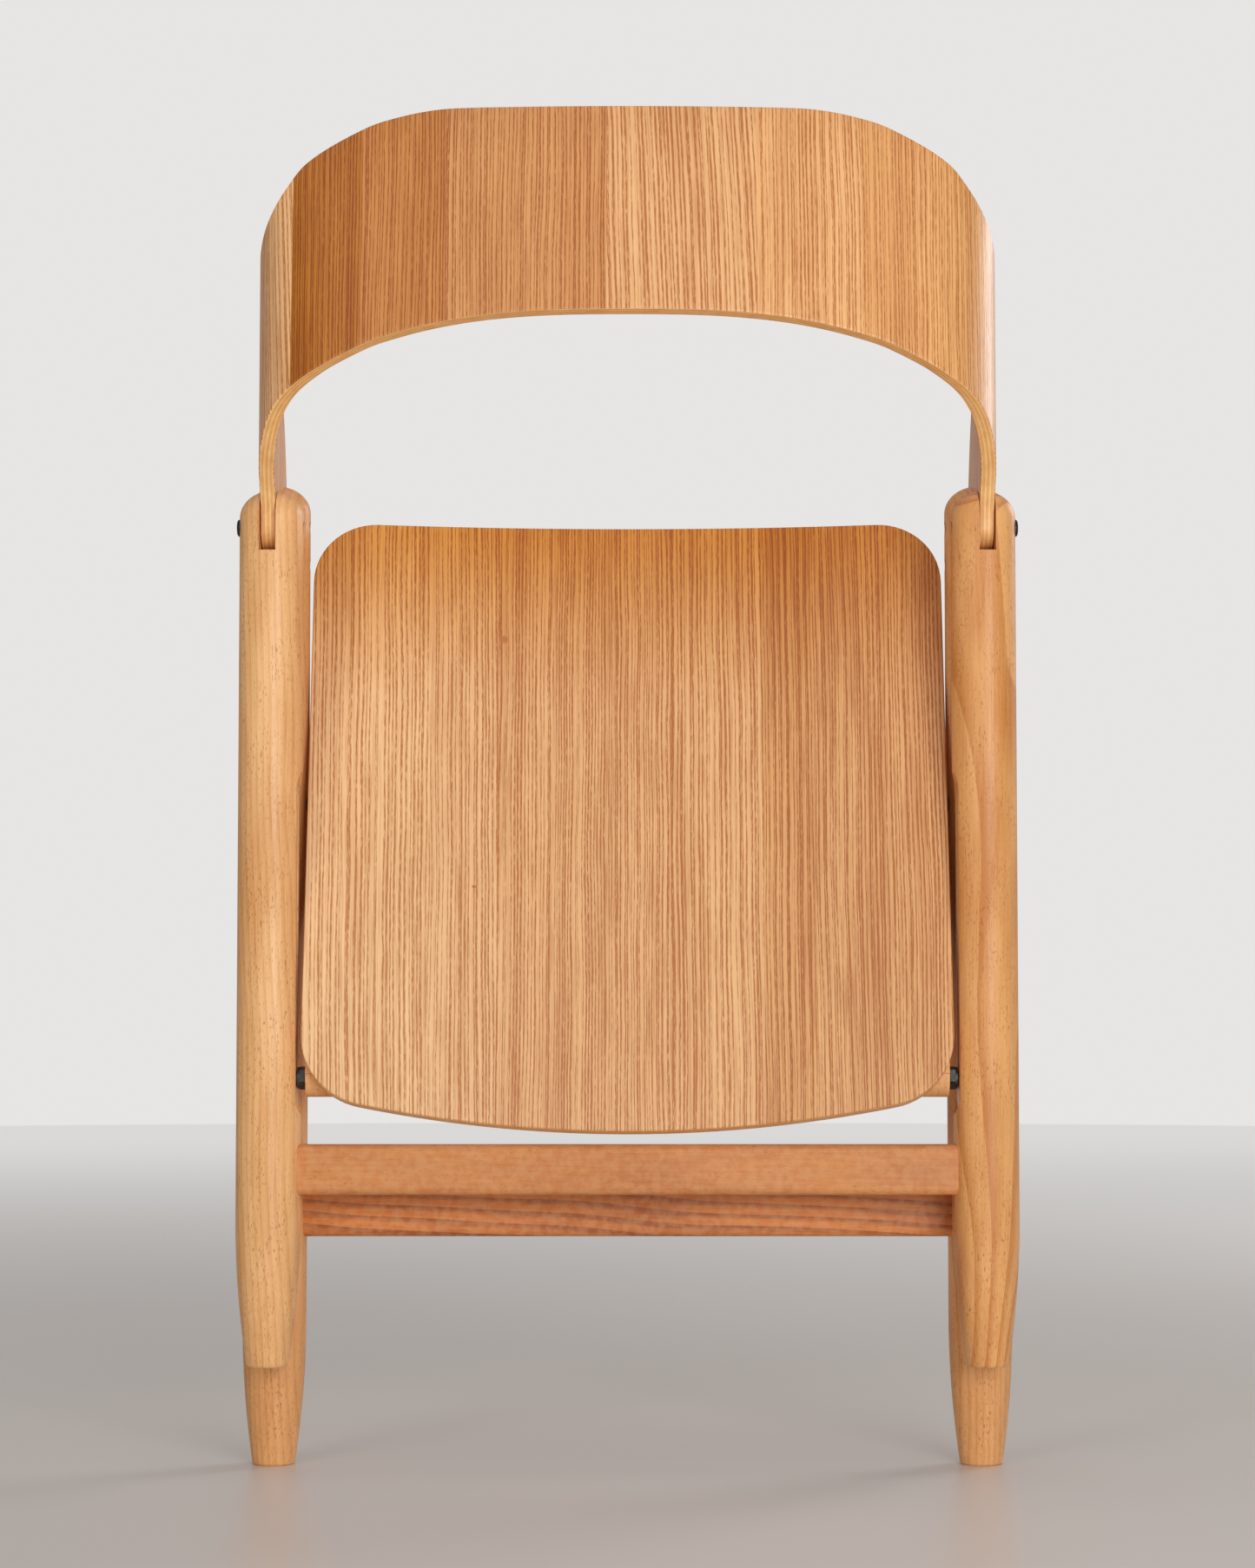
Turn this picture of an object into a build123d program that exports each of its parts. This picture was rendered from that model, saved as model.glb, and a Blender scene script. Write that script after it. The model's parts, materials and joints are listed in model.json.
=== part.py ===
from build123d import *
import os
from math import atan2, cos, degrees, hypot, radians, sin, sqrt, tan

# Folding chair in beech and moulded plywood, folded flat and standing on its front legs.
# Millimetres. X is across the chair (+X is the sitter's right), +Y is the way a sitter faces, +Z is up.
# Every shape is drawn about the rear legs' hinge axis, and moved to the floor when it is written.

# ---- overall places ----
HINGE_HEIGHT = 646.8        # hinge axis above the floor
DEPTH_SHIFT = 10.1          # hinge axis ahead of the middle of the folded depth
LEG_X = 245.5               # leg axes from the chair's middle plane
LEG_SPACING = 48.0          # front leg axis ahead of the rear leg axis when folded

# ---- turned legs ----
LEG_RADIUS = 22.2
DOME_HEIGHT = 19.0          # low dome on top of each leg
REAR_LEG_TOP = 25.7
REAR_LEG_FOOT = -574.4
FRONT_LEG_TOP = 35.5
FRONT_LEG_FOOT = -HINGE_HEIGHT
TAPER_LENGTH = 102.0        # last stretch of a leg, where it narrows to the foot
REAR_FOOT_RADIUS = 14.2
FRONT_FOOT_RADIUS = 14.8
FOOT_EDGE = 1.2             # broken edge round the sole

# ---- moulded back ----
BACK_PLY = 10.5
ARM_OUTER_X = 252.0         # outer face of the flat arms
CORNER_RADIUS = 70.0        # plan radius where an arm turns into the back
BACK_RADIUS = 750.0         # plan radius of the back itself
BACK_REACH = 118.0          # outer face behind the hinge axis, at the reference height
BACK_REACH_HEIGHT = 130.0
BACK_LEAN = 13.1            # the back leans forward of the legs by this angle
BACK_MIDDLE_LOW = 130.4     # lower and upper edge of the back at its middle
BACK_MIDDLE_HIGH = 274.6
LOW_EDGE_DROP = 30.0        # fall of the lower edge, growing with the cube of X, reached at X = 200
LOW_EDGE_DROP_X = 200.0
HIGH_EDGE_DROP = 22.5       # fall of the upper edge, growing with the square of X, from X = 110 to 200
HIGH_EDGE_START_X = 110.0
HIGH_EDGE_RUN = 90.0
# Corner stations: plan angle round the corner, lower edge, upper edge.
CORNER_EDGES = [(60, 89.5, 239.5), (45, 79.5, 223.5), (30, 66.0, 207.5), (15, 46.5, 192.0), (0, 25.0, 175.0)]
BACK_STATIONS = 4           # stations between the middle and the start of a corner
ARM_END_RADIUS = 15.0       # rounded arm end about the hinge bolt
TONGUE_BOTTOM = -35.0       # the arm's tongue reaches this far down the front leg's slot
TONGUE_REAR = 27.0
TONGUE_FRONT = 67.0
TONGUE_CORNER = 6.0
ARM_FRONT_EDGE = [(0, 143), (30, 100), (54, 56)]    # points on the arm's front edge: forward, up

# ---- slots in the leg tops ----
HINGE_SLOT_GAP = 0.5        # air each side of the arm in the rear leg
HINGE_SLOT_BOTTOM = -17.5

# ---- stretchers ----
STRETCHER_DEPTH = 18.6
STRETCHER_HEIGHT = 34.2
STRETCHER_EDGE = 4.5
REAR_STRETCHER_Z = -441.0
FRONT_STRETCHER_Z = -472.4
DOWEL_RADIUS = 4.0
DOWEL_HALF_SPACING = 8.5
DOWEL_IN_LEG = 16.0
DOWEL_IN_STRETCHER = 22.0

# ---- seat: its pivot, hinge bolt and rear bolt form a triangle with two equal sides ----
SEAT_PIVOT_DROP = 189.3     # seat pivot below the hinge axis, on the front leg's axis
SEAT_ARM = hypot(LEG_SPACING, SEAT_PIVOT_DROP)
SEAT_LEAN = degrees(atan2(LEG_SPACING, SEAT_PIVOT_DROP))
SEAT_FRONT = 203.0          # front edge ahead of the pivot, along the seat
SEAT_REAR = 40.0            # rear edge behind the rear bolt, at the middle
SEAT_HALF_WIDTH = 222.0
SEAT_PLY = 12.0
SLAB_HALF_WIDTH = 1.1 * SEAT_HALF_WIDTH     # the slab is drawn wider, then cut to the outline
SEAT_DISH = 13.0            # how far the middle lies below the sides
SEAT_SIDE_TOP = 27.0        # top face at the sides, above the line of the two bolts
SEAT_FRONT_CORNER = 45.0
SEAT_REAR_CORNER = 48.0
SEAT_REAR_RADIUS = 1000.0
CLEAT_OUTER_X = 219.5
CLEAT_WIDTH = 18.0
CLEAT_HALF_HEIGHT = 13.0
CLEAT_FRONT = 168.0         # cleat's front end ahead of the pivot
CLEAT_FRONT_RADIUS = 20.0
SCREW_PLACES = (140.0, 45.0, -45.0, -150.0)
SCREW_RADIUS = 2.0
SCREW_HEAD_RADIUS = 4.0
SCREW_INTO_PANEL = 7.5
SCREW_DISH = 2.0            # the panel's underside lies this far lower over the cleats than at its sides

# ---- rear legs' recess and slot for the sliding bolt ----
RECESS_WIDTH = 23.0
RECESS_FLAT = 19.05         # recess floor from the leg's axis
RECESS_LOW = -403.2
RECESS_HIGH = -168.6
SLIDE_SLOT_WIDTH = 10.8
SLIDE_SLOT_DEPTH = 12.0
SLIDE_SLOT_END = 1.2        # slot beyond the bush at both ends of its travel
FOLD_ANGLE = 48.0           # rear legs swing this far to open the chair

# ---- fasteners ----
RUNNING_CLEARANCE = 0.05
BOLT_RADIUS = 4.0
THREAD_RADIUS = 3.0
HEAD_RADIUS = 6.0
HEAD_HEIGHT = 2.6
HEX_SOCKET_RADIUS = 2.2
HEX_SOCKET_DEPTH = 1.5
HEAD_ROUNDING = 0.7         # edge radius of a head as a share of its height
CUTTER_MARGIN = 1.0         # cutters reach this far past the face they open
SPOT_FACE = 21.3            # spot-faced floor under a bolt head, from the leg's axis
SPOT_FACE_RADIUS = 6.4
SLEEVE_RADIUS = 5.0
SLEEVE_RECESS = 20.4        # sleeve nut's face from the leg's axis
SLEEVE_START_X = 237.0
SLEEVE_THREAD_END = 228.0
SCREWDRIVER_SLOT = 1.2
ARM_BOLT_HEIGHTS = (-20.0, 6.0)
SPACER_RADIUS = 8.25
SPACER_GAP = 0.2            # air round the spacer in its spot face
SPACER_FLAT = 20.6          # spot-faced floor under the seat spacer, from the leg's axis
END_PLAY = 0.4              # air between the cleat and the spacer and nut
PIVOT_NUT_WIDTH = 13.0
PIVOT_NUT_LENGTH = 5.0
THREAD_PROUD = 1.0          # thread past its nut
SLIDE_NUT_WIDTH = 14.0
SLIDE_NUT_LENGTH = 4.5
SLIDE_WASHER_RADIUS = 7.5
SLIDE_WASHER_LENGTH = 1.6
SLIDE_BUSH_RADIUS = 5.0
SLIDE_BUSH_LENGTH = 11.0
SLIDE_HEAD_HEIGHT = 3.5
SLIDE_SOCKET_DEPTH = 1.5

SEAT_PLANE = Plane(
    origin=(0, LEG_SPACING, -SEAT_PIVOT_DROP),
    x_dir=(1, 0, 0),
    z_dir=(0, -cos(radians(SEAT_LEAN)), sin(radians(SEAT_LEAN))),
)
SIDES = (("left", -1), ("right", 1))


# ---- small helpers ----
def rod(radius, start_x, end_x, y=0.0, z=0.0):
    """Round bar along X."""
    bar = Cylinder(radius, end_x - start_x, align=(Align.CENTER, Align.CENTER, Align.MIN))
    return Pos(start_x, y, z) * Rot(0, 90, 0) * bar


def hex_bar(width, start_x, end_x, y=0.0, z=0.0):
    """Hexagonal bar along X, across-flats width."""
    face = Plane.YZ * RegularPolygon(width / 2, 6, major_radius=False)
    return Pos(start_x, y, z) * extrude(face, end_x - start_x, dir=(1, 0, 0))


def block(low, high):
    """Box between two corners."""
    size = [b - a for a, b in zip(low, high)]
    return Pos(*low) * Box(*size, align=(Align.MIN, Align.MIN, Align.MIN))


def long_cutter(width, low_z, high_z, start_x, end_x):
    """Round-ended cutter along X, on the rear legs' axis plane."""
    middle = (low_z + high_z) / 2
    face = Plane.YZ * Pos(0, middle) * SlotOverall(high_z - low_z, width, rotation=90)
    return Pos(start_x, 0, 0) * extrude(face, end_x - start_x, dir=(1, 0, 0))


def on_side(shape, side):
    """The right-hand shape, or its mirror for the left side."""
    return shape if side > 0 else mirror(shape, Plane.YZ)


# ---- legs ----
def turned_leg(axis_y, top, foot, foot_radius):
    """Round leg with a low dome and a foot that narrows in a slight curve."""
    shoulder = top - DOME_HEIGHT
    taper = foot + TAPER_LENGTH
    dome = EllipticalCenterArc((0, shoulder), LEG_RADIUS, DOME_HEIGHT, start_angle=0, arc_size=90)
    flank = TangentArc((LEG_RADIUS, taper), (foot_radius, foot + FOOT_EDGE), tangent=(0, -1))
    sole = Polyline((foot_radius, foot + FOOT_EDGE), (foot_radius - FOOT_EDGE, foot), (0, foot), (0, top))
    face = make_face(Plane.XZ * (dome + Line((LEG_RADIUS, shoulder), (LEG_RADIUS, taper)) + flank + sole))
    return Pos(LEG_X, axis_y, 0) * revolve(face, Axis.Z)


def head_cutter(y, z):
    """Spot face for a bolt head on a leg's outer side."""
    return rod(SPOT_FACE_RADIUS, LEG_X + SPOT_FACE, LEG_X + LEG_RADIUS + HEAD_HEIGHT, y, z)


def sleeve_cutter(y, z):
    """Hole for a bolt and its sleeve nut, right through a leg."""
    bolt = rod(BOLT_RADIUS, SLEEVE_START_X, LEG_X + LEG_RADIUS, y, z)
    return bolt + rod(SLEEVE_RADIUS, LEG_X - LEG_RADIUS - CUTTER_MARGIN, SLEEVE_START_X, y, z)


def dowel_rods(y, z):
    """The two dowels of one stretcher end."""
    joint_x = LEG_X - LEG_RADIUS
    heights = (z - DOWEL_HALF_SPACING, z + DOWEL_HALF_SPACING)
    return [rod(DOWEL_RADIUS, joint_x - DOWEL_IN_STRETCHER, joint_x + DOWEL_IN_LEG, y, h) for h in heights]


def slide_height(angle):
    """Height of the sliding bolt on the rear leg's line, with the legs opened by angle."""
    return -2 * SEAT_ARM * cos(radians(SEAT_LEAN + angle))


def rear_leg():
    """Rear leg: hinge slot in the top, recess and slot for the seat's sliding bolt."""
    leg = turned_leg(0, REAR_LEG_TOP, REAR_LEG_FOOT, REAR_FOOT_RADIUS)
    slot_low = (ARM_OUTER_X - BACK_PLY - HINGE_SLOT_GAP, -2 * LEG_RADIUS, HINGE_SLOT_BOTTOM)
    slot_high = (ARM_OUTER_X + HINGE_SLOT_GAP, 2 * LEG_RADIUS, 2 * REAR_LEG_TOP)
    leg -= block(slot_low, slot_high)
    leg -= head_cutter(0, 0)
    leg -= sleeve_cutter(0, 0)
    floor_x = LEG_X - RECESS_FLAT
    leg -= long_cutter(RECESS_WIDTH, RECESS_LOW, RECESS_HIGH, LEG_X - 2 * LEG_RADIUS, floor_x)
    reach = SLIDE_BUSH_RADIUS + SLIDE_SLOT_END
    low, high = slide_height(0) - reach, slide_height(FOLD_ANGLE) + reach
    leg -= long_cutter(SLIDE_SLOT_WIDTH, low, high, floor_x, floor_x + SLIDE_SLOT_DEPTH)
    for dowel in dowel_rods(0, REAR_STRETCHER_Z):
        leg -= dowel
    return leg


def front_leg():
    """Front leg: slot for the back's tongue, and the hole for the seat pivot."""
    leg = turned_leg(LEG_SPACING, FRONT_LEG_TOP, FRONT_LEG_FOOT, FRONT_FOOT_RADIUS)
    slot_low = (ARM_OUTER_X - BACK_PLY, LEG_SPACING - 2 * LEG_RADIUS, TONGUE_BOTTOM)
    slot_high = (ARM_OUTER_X, LEG_SPACING + 2 * LEG_RADIUS, 2 * FRONT_LEG_TOP)
    leg -= block(slot_low, slot_high)
    for height in ARM_BOLT_HEIGHTS:
        leg -= head_cutter(LEG_SPACING, height)
        leg -= sleeve_cutter(LEG_SPACING, height)
    drop = -SEAT_PIVOT_DROP
    leg -= head_cutter(LEG_SPACING, drop)
    leg -= rod(BOLT_RADIUS, LEG_X - LEG_RADIUS, LEG_X + LEG_RADIUS, LEG_SPACING, drop)
    leg -= rod(SPACER_RADIUS + SPACER_GAP, LEG_X - 2 * LEG_RADIUS, LEG_X - SPACER_FLAT, LEG_SPACING, drop)
    for dowel in dowel_rods(LEG_SPACING, FRONT_STRETCHER_Z):
        leg -= dowel
    return leg


def stretcher(axis_y, middle_z):
    """Flat bar between two legs, its ends hollowed to fit them."""
    bar = Box(2 * LEG_X, STRETCHER_DEPTH, STRETCHER_HEIGHT)
    bar = Pos(0, axis_y, middle_z) * fillet(bar.edges().filter_by(Axis.X), STRETCHER_EDGE)
    for _, side in SIDES:
        bar -= Pos(side * LEG_X, axis_y, middle_z) * Cylinder(LEG_RADIUS, 2 * STRETCHER_HEIGHT)
        for dowel in dowel_rods(axis_y, middle_z):
            bar -= on_side(dowel, side)
    return bar


# ---- moulded back ----
def plan_stations():
    """Plan points from the middle to an arm: X, reach behind the hinge, plan angle, low and high edge."""
    run = sqrt((BACK_RADIUS - CORNER_RADIUS) ** 2 - (ARM_OUTER_X - CORNER_RADIUS) ** 2)
    back_centre = BACK_REACH - BACK_RADIUS
    corner_start = degrees(atan2(run, ARM_OUTER_X - CORNER_RADIUS))
    stations = []
    for i in range(BACK_STATIONS + 1):
        angle = 90 + (corner_start - 90) * i / BACK_STATIONS
        x = BACK_RADIUS * cos(radians(angle))
        low = BACK_MIDDLE_LOW - LOW_EDGE_DROP * (x / LOW_EDGE_DROP_X) ** 3
        high = BACK_MIDDLE_HIGH - HIGH_EDGE_DROP * (max(x - HIGH_EDGE_START_X, 0) / HIGH_EDGE_RUN) ** 2
        stations.append((x, back_centre + BACK_RADIUS * sin(radians(angle)), angle, low, high))
    for angle, low, high in CORNER_EDGES:
        x = ARM_OUTER_X - CORNER_RADIUS + CORNER_RADIUS * cos(radians(angle))
        stations.append((x, back_centre + run + CORNER_RADIUS * sin(radians(angle)), angle, low, high))
    return stations, back_centre + run


def back_section(station, arm_end):
    """Slice of the ply at one station: its face runs up the outer surface and through the thickness."""
    x, reach, angle, low, high = station
    lean = tan(radians(BACK_LEAN))
    share = (reach - arm_end) / (BACK_REACH - arm_end)

    def outer(height):
        return Vector(x, -(reach - share * lean * (height - BACK_REACH_HEIGHT)), height)

    along = Vector(-sin(radians(angle)), -cos(radians(angle)), 0)
    inward = along.cross(outer(high) - outer(low)).normalized() * BACK_PLY
    if inward.Y < 0 or (abs(inward.Y) < 1e-6 and inward.X > 0):
        inward = inward * -1
    corners = [outer(low), outer(high), outer(high) + inward, outer(low) + inward]
    return Face(Wire.make_polygon(corners, close=True))


def arm_plate(arm_end):
    """Flat end of the back: rounded about the hinge bolt, with a tongue for the front leg's slot."""
    _, low, high = CORNER_EDGES[-1]
    front_edge = Spline(
        (-arm_end, high), *ARM_FRONT_EDGE, (TONGUE_FRONT, 0),
        tangents=((0.72, -0.69), (0, -1)),
    )
    tongue = Polyline(
        (TONGUE_FRONT, 0), (TONGUE_FRONT, TONGUE_BOTTOM + TONGUE_CORNER),
        (TONGUE_FRONT - TONGUE_CORNER, TONGUE_BOTTOM), (TONGUE_REAR, TONGUE_BOTTOM),
        (TONGUE_REAR, -ARM_END_RADIUS), (0, -ARM_END_RADIUS),
    )
    end = CenterArc((0, 0), ARM_END_RADIUS, 180, 90)
    rear_edge = Spline((-ARM_END_RADIUS, 0), (-arm_end, low), tangents=((0, 1), (-0.66, 0.75)))
    closing = Line((-arm_end, low), (-arm_end, high))
    face = make_face(Plane.YZ * (front_edge + tongue + end + rear_edge + closing))
    return Pos(ARM_OUTER_X - BACK_PLY, 0, 0) * extrude(face, BACK_PLY, dir=(1, 0, 0))


def backrest():
    """One moulded band: the back, two corners and two flat arms."""
    stations, arm_end = plan_stations()
    right = [back_section(station, arm_end) for station in stations]
    left = [mirror(section, Plane.YZ) for section in reversed(right[1:])]
    band = loft(left + right)
    for _, side in SIDES:
        band += on_side(arm_plate(arm_end), side)
    for _, side in SIDES:
        band -= on_side(rod(BOLT_RADIUS + RUNNING_CLEARANCE, LEG_X - LEG_RADIUS, LEG_X + LEG_RADIUS), side)
        for height in ARM_BOLT_HEIGHTS:
            hole = rod(BOLT_RADIUS, LEG_X - LEG_RADIUS, LEG_X + LEG_RADIUS, LEG_SPACING, height)
            band -= on_side(hole, side)
    return band


# ---- seat, drawn with its pivot at the origin, +Y to its front edge and +Z up ----
def dished_slab(top):
    """Ply whose faces are hollow across the seat, its top at the given height at the seat's sides."""
    radius = (SEAT_HALF_WIDTH ** 2 + SEAT_DISH ** 2) / (2 * SEAT_DISH)
    centre = top - SEAT_DISH + radius

    def arc(arc_radius):
        side = centre - sqrt(arc_radius ** 2 - SLAB_HALF_WIDTH ** 2)
        return (-SLAB_HALF_WIDTH, side), (0, centre - arc_radius), (SLAB_HALF_WIDTH, side)

    upper, lower = arc(radius), arc(radius + SEAT_PLY)
    edge = ThreePointArc(*upper) + ThreePointArc(*lower)
    edge += Line(upper[0], lower[0]) + Line(upper[2], lower[2])
    return extrude(make_face(Plane.XZ * edge), 2 * SEAT_ARM + SEAT_FRONT, both=True)


def seat_outline():
    """Seen from above: straight front, gently bowed rear, rounded corners."""
    rear = -(SEAT_ARM + SEAT_REAR)
    bow = SEAT_REAR_RADIUS - sqrt(SEAT_REAR_RADIUS ** 2 - SEAT_HALF_WIDTH ** 2)
    corners = [(-SEAT_HALF_WIDTH, rear + bow), (-SEAT_HALF_WIDTH, SEAT_FRONT),
               (SEAT_HALF_WIDTH, SEAT_FRONT), (SEAT_HALF_WIDTH, rear + bow)]
    edge = Polyline(*corners) + ThreePointArc(corners[3], (0, rear), corners[0])
    face = make_face(edge)
    face = fillet(face.vertices().filter_by_position(Axis.Y, 0, 2 * SEAT_FRONT), SEAT_FRONT_CORNER)
    return fillet(face.vertices().filter_by_position(Axis.Y, 2 * rear, -SEAT_ARM / 2), SEAT_REAR_CORNER)


def screw(place):
    """Countersunk screw up through a cleat into the panel."""
    bottom = -CLEAT_HALF_HEIGHT
    underside = SEAT_SIDE_TOP - SEAT_PLY - SCREW_DISH
    length = underside + SCREW_INTO_PANEL - bottom
    shank = Cylinder(SCREW_RADIUS, length, align=(Align.CENTER, Align.CENTER, Align.MIN))
    head = Cone(SCREW_HEAD_RADIUS, SCREW_RADIUS, SCREW_RADIUS, align=(Align.CENTER, Align.CENTER, Align.MIN))
    return Pos(CLEAT_OUTER_X - CLEAT_WIDTH / 2, place, bottom) * (shank + head)


def seat_panel():
    """Dished plywood panel."""
    blank = Pos(0, 0, -SEAT_ARM) * extrude(seat_outline(), 2 * SEAT_ARM, dir=(0, 0, 1))
    panel = dished_slab(SEAT_SIDE_TOP) & blank
    for _, side in SIDES:
        for place in SCREW_PLACES:
            panel -= on_side(screw(place), side)
    return panel


def seat_cleat():
    """Batten under the seat's side: rounded about the rear bolt, swept up at the front."""
    rear = -SEAT_ARM
    high = SEAT_SIDE_TOP
    shape = Polyline(
        (rear, -CLEAT_HALF_HEIGHT), (CLEAT_FRONT - CLEAT_FRONT_RADIUS, -CLEAT_HALF_HEIGHT),
    ) + Spline(
        (CLEAT_FRONT - CLEAT_FRONT_RADIUS, -CLEAT_HALF_HEIGHT), (CLEAT_FRONT, high),
        tangents=((1, 0), (0, 1)),
    ) + Polyline((CLEAT_FRONT, high), (rear, high), (rear, CLEAT_HALF_HEIGHT))
    shape += CenterArc((rear, 0), CLEAT_HALF_HEIGHT, 90, 180)
    face = make_face(Plane.YZ * shape)
    cleat = Pos(CLEAT_OUTER_X - CLEAT_WIDTH, 0, 0) * extrude(face, CLEAT_WIDTH, dir=(1, 0, 0))
    for top in (SEAT_SIDE_TOP, SEAT_SIDE_TOP + SEAT_PLY):
        cleat -= dished_slab(top)
    cleat -= rod(BOLT_RADIUS + RUNNING_CLEARANCE, 0, LEG_X)
    cleat -= rod(THREAD_RADIUS, 0, LEG_X, rear)
    for place in SCREW_PLACES:
        cleat -= screw(place)
    return cleat


# ---- fasteners, right-hand side ----
def round_head(start_x, y=0.0, z=0.0):
    """Low domed head with a hexagon socket, growing outwards from start_x."""
    head = rod(HEAD_RADIUS, start_x, start_x + HEAD_HEIGHT, y, z)
    rim = head.edges().filter_by(GeomType.CIRCLE).sort_by(Axis.X)[-1]
    head = fillet(rim, HEAD_HEIGHT * HEAD_ROUNDING)
    end = start_x + HEAD_HEIGHT
    return head - hex_bar(2 * HEX_SOCKET_RADIUS, end - HEX_SOCKET_DEPTH, end + CUTTER_MARGIN, y, z)


def sleeve_bolt(y, z):
    """Bolt through a leg's slot, from the outer side into its sleeve nut."""
    head_x = LEG_X + SPOT_FACE
    bolt = round_head(head_x, y, z)
    bolt += rod(BOLT_RADIUS, SLEEVE_START_X, head_x, y, z)
    return bolt + rod(THREAD_RADIUS, SLEEVE_THREAD_END, SLEEVE_START_X, y, z)


def sleeve_nut(y, z):
    """Sleeve nut let into a leg's inner side, with a screwdriver slot."""
    face_x = LEG_X - SLEEVE_RECESS
    nut = rod(SLEEVE_RADIUS, face_x, SLEEVE_START_X, y, z)
    nut -= rod(THREAD_RADIUS, SLEEVE_THREAD_END, SLEEVE_START_X, y, z)
    half = SCREWDRIVER_SLOT / 2
    low = (face_x, y - half, z - 2 * SLEEVE_RADIUS)
    high = (face_x + SCREWDRIVER_SLOT, y + half, z + 2 * SLEEVE_RADIUS)
    return nut - block(low, high)


def pivot_bolt():
    """Bolt that the seat turns on, through the front leg, the spacer and the cleat."""
    head_x = LEG_X + SPOT_FACE
    y, z = LEG_SPACING, -SEAT_PIVOT_DROP
    nut_x = CLEAT_OUTER_X - CLEAT_WIDTH - END_PLAY
    bolt = round_head(head_x, y, z)
    bolt += rod(BOLT_RADIUS, nut_x, head_x, y, z)
    return bolt + rod(THREAD_RADIUS, nut_x - PIVOT_NUT_LENGTH - THREAD_PROUD, nut_x, y, z)


def pivot_nut():
    """Nut inside the cleat, on the pivot bolt's end."""
    y, z = LEG_SPACING, -SEAT_PIVOT_DROP
    nut_x = CLEAT_OUTER_X - CLEAT_WIDTH - END_PLAY
    nut = hex_bar(PIVOT_NUT_WIDTH, nut_x - PIVOT_NUT_LENGTH, nut_x, y, z)
    return nut - rod(THREAD_RADIUS, nut_x - PIVOT_NUT_LENGTH, nut_x, y, z)


def seat_spacer():
    """Spacer between the front leg and the cleat."""
    y, z = LEG_SPACING, -SEAT_PIVOT_DROP
    start, end = CLEAT_OUTER_X + END_PLAY, LEG_X - SPACER_FLAT
    return rod(SPACER_RADIUS, start, end, y, z) - rod(BOLT_RADIUS, start, end, y, z)


def slide_bolt():
    """Bolt through the cleat's rear end, in the seat's own frame."""
    inner = CLEAT_OUTER_X - CLEAT_WIDTH
    face_x = inner - SLIDE_HEAD_HEIGHT
    bolt = rod(HEAD_RADIUS, face_x, inner, -SEAT_ARM)
    rim = bolt.edges().filter_by(GeomType.CIRCLE).sort_by(Axis.X)[0]
    bolt = fillet(rim, HEAD_HEIGHT * HEAD_ROUNDING)
    bolt -= hex_bar(2 * HEX_SOCKET_RADIUS, face_x - CUTTER_MARGIN, face_x + SLIDE_SOCKET_DEPTH, -SEAT_ARM)
    return bolt + rod(THREAD_RADIUS, inner, bush_start() + SLIDE_BUSH_LENGTH, -SEAT_ARM)


def bush_start():
    """X where the sliding bush starts."""
    return CLEAT_OUTER_X + SLIDE_NUT_LENGTH + SLIDE_WASHER_LENGTH


def ring_on_slide(outer, start, length):
    """Round piece on the sliding bolt."""
    end = start + length
    return rod(outer, start, end, -SEAT_ARM) - rod(THREAD_RADIUS, start, end, -SEAT_ARM)


def slide_nut():
    """Hexagon nut that clamps the sliding bolt to the cleat."""
    end = CLEAT_OUTER_X + SLIDE_NUT_LENGTH
    nut = hex_bar(SLIDE_NUT_WIDTH, CLEAT_OUTER_X, end, -SEAT_ARM)
    return nut - rod(THREAD_RADIUS, CLEAT_OUTER_X, end, -SEAT_ARM)


# ---- writing ----
def write(name, *solids):
    """Move a node from the hinge axis to the floor frame and write it."""
    to_floor = Pos(0, DEPTH_SHIFT, HINGE_HEIGHT)
    moved = [to_floor * solid for solid in solids]
    export_step(moved[0] if len(moved) == 1 else Compound(children=moved), f"parts/{name}.step")


def write_side(name, side):
    """Write the nodes of one side of the chair."""
    def seat_piece(shape):
        return on_side(SEAT_PLANE.location * shape, side)

    write(f"rear_leg_{name}", on_side(rear_leg(), side))
    write(f"front_leg_{name}", on_side(front_leg(), side))
    write(f"hinge_bolt_{name}", on_side(sleeve_bolt(0, 0), side))
    write(f"hinge_nut_{name}", on_side(sleeve_nut(0, 0), side))
    arm_places = [(LEG_SPACING, height) for height in ARM_BOLT_HEIGHTS]
    write(f"arm_bolts_{name}", *[on_side(sleeve_bolt(*place), side) for place in arm_places])
    write(f"arm_nuts_{name}", *[on_side(sleeve_nut(*place), side) for place in arm_places])
    write(f"pivot_bolt_{name}", on_side(pivot_bolt(), side))
    write(f"pivot_nut_{name}", on_side(pivot_nut(), side))
    write(f"seat_spacer_{name}", on_side(seat_spacer(), side))
    write(f"seat_cleat_{name}", seat_piece(seat_cleat()))
    write(f"slide_bolt_{name}", seat_piece(slide_bolt()))
    write(f"slide_nut_{name}", seat_piece(slide_nut()))
    washer = ring_on_slide(SLIDE_WASHER_RADIUS, CLEAT_OUTER_X + SLIDE_NUT_LENGTH, SLIDE_WASHER_LENGTH)
    write(f"slide_washer_{name}", seat_piece(washer))
    bush = ring_on_slide(SLIDE_BUSH_RADIUS, bush_start(), SLIDE_BUSH_LENGTH)
    write(f"slide_bush_{name}", seat_piece(bush))
    write(f"cleat_screws_{name}", *[seat_piece(screw(place)) for place in SCREW_PLACES])


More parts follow.
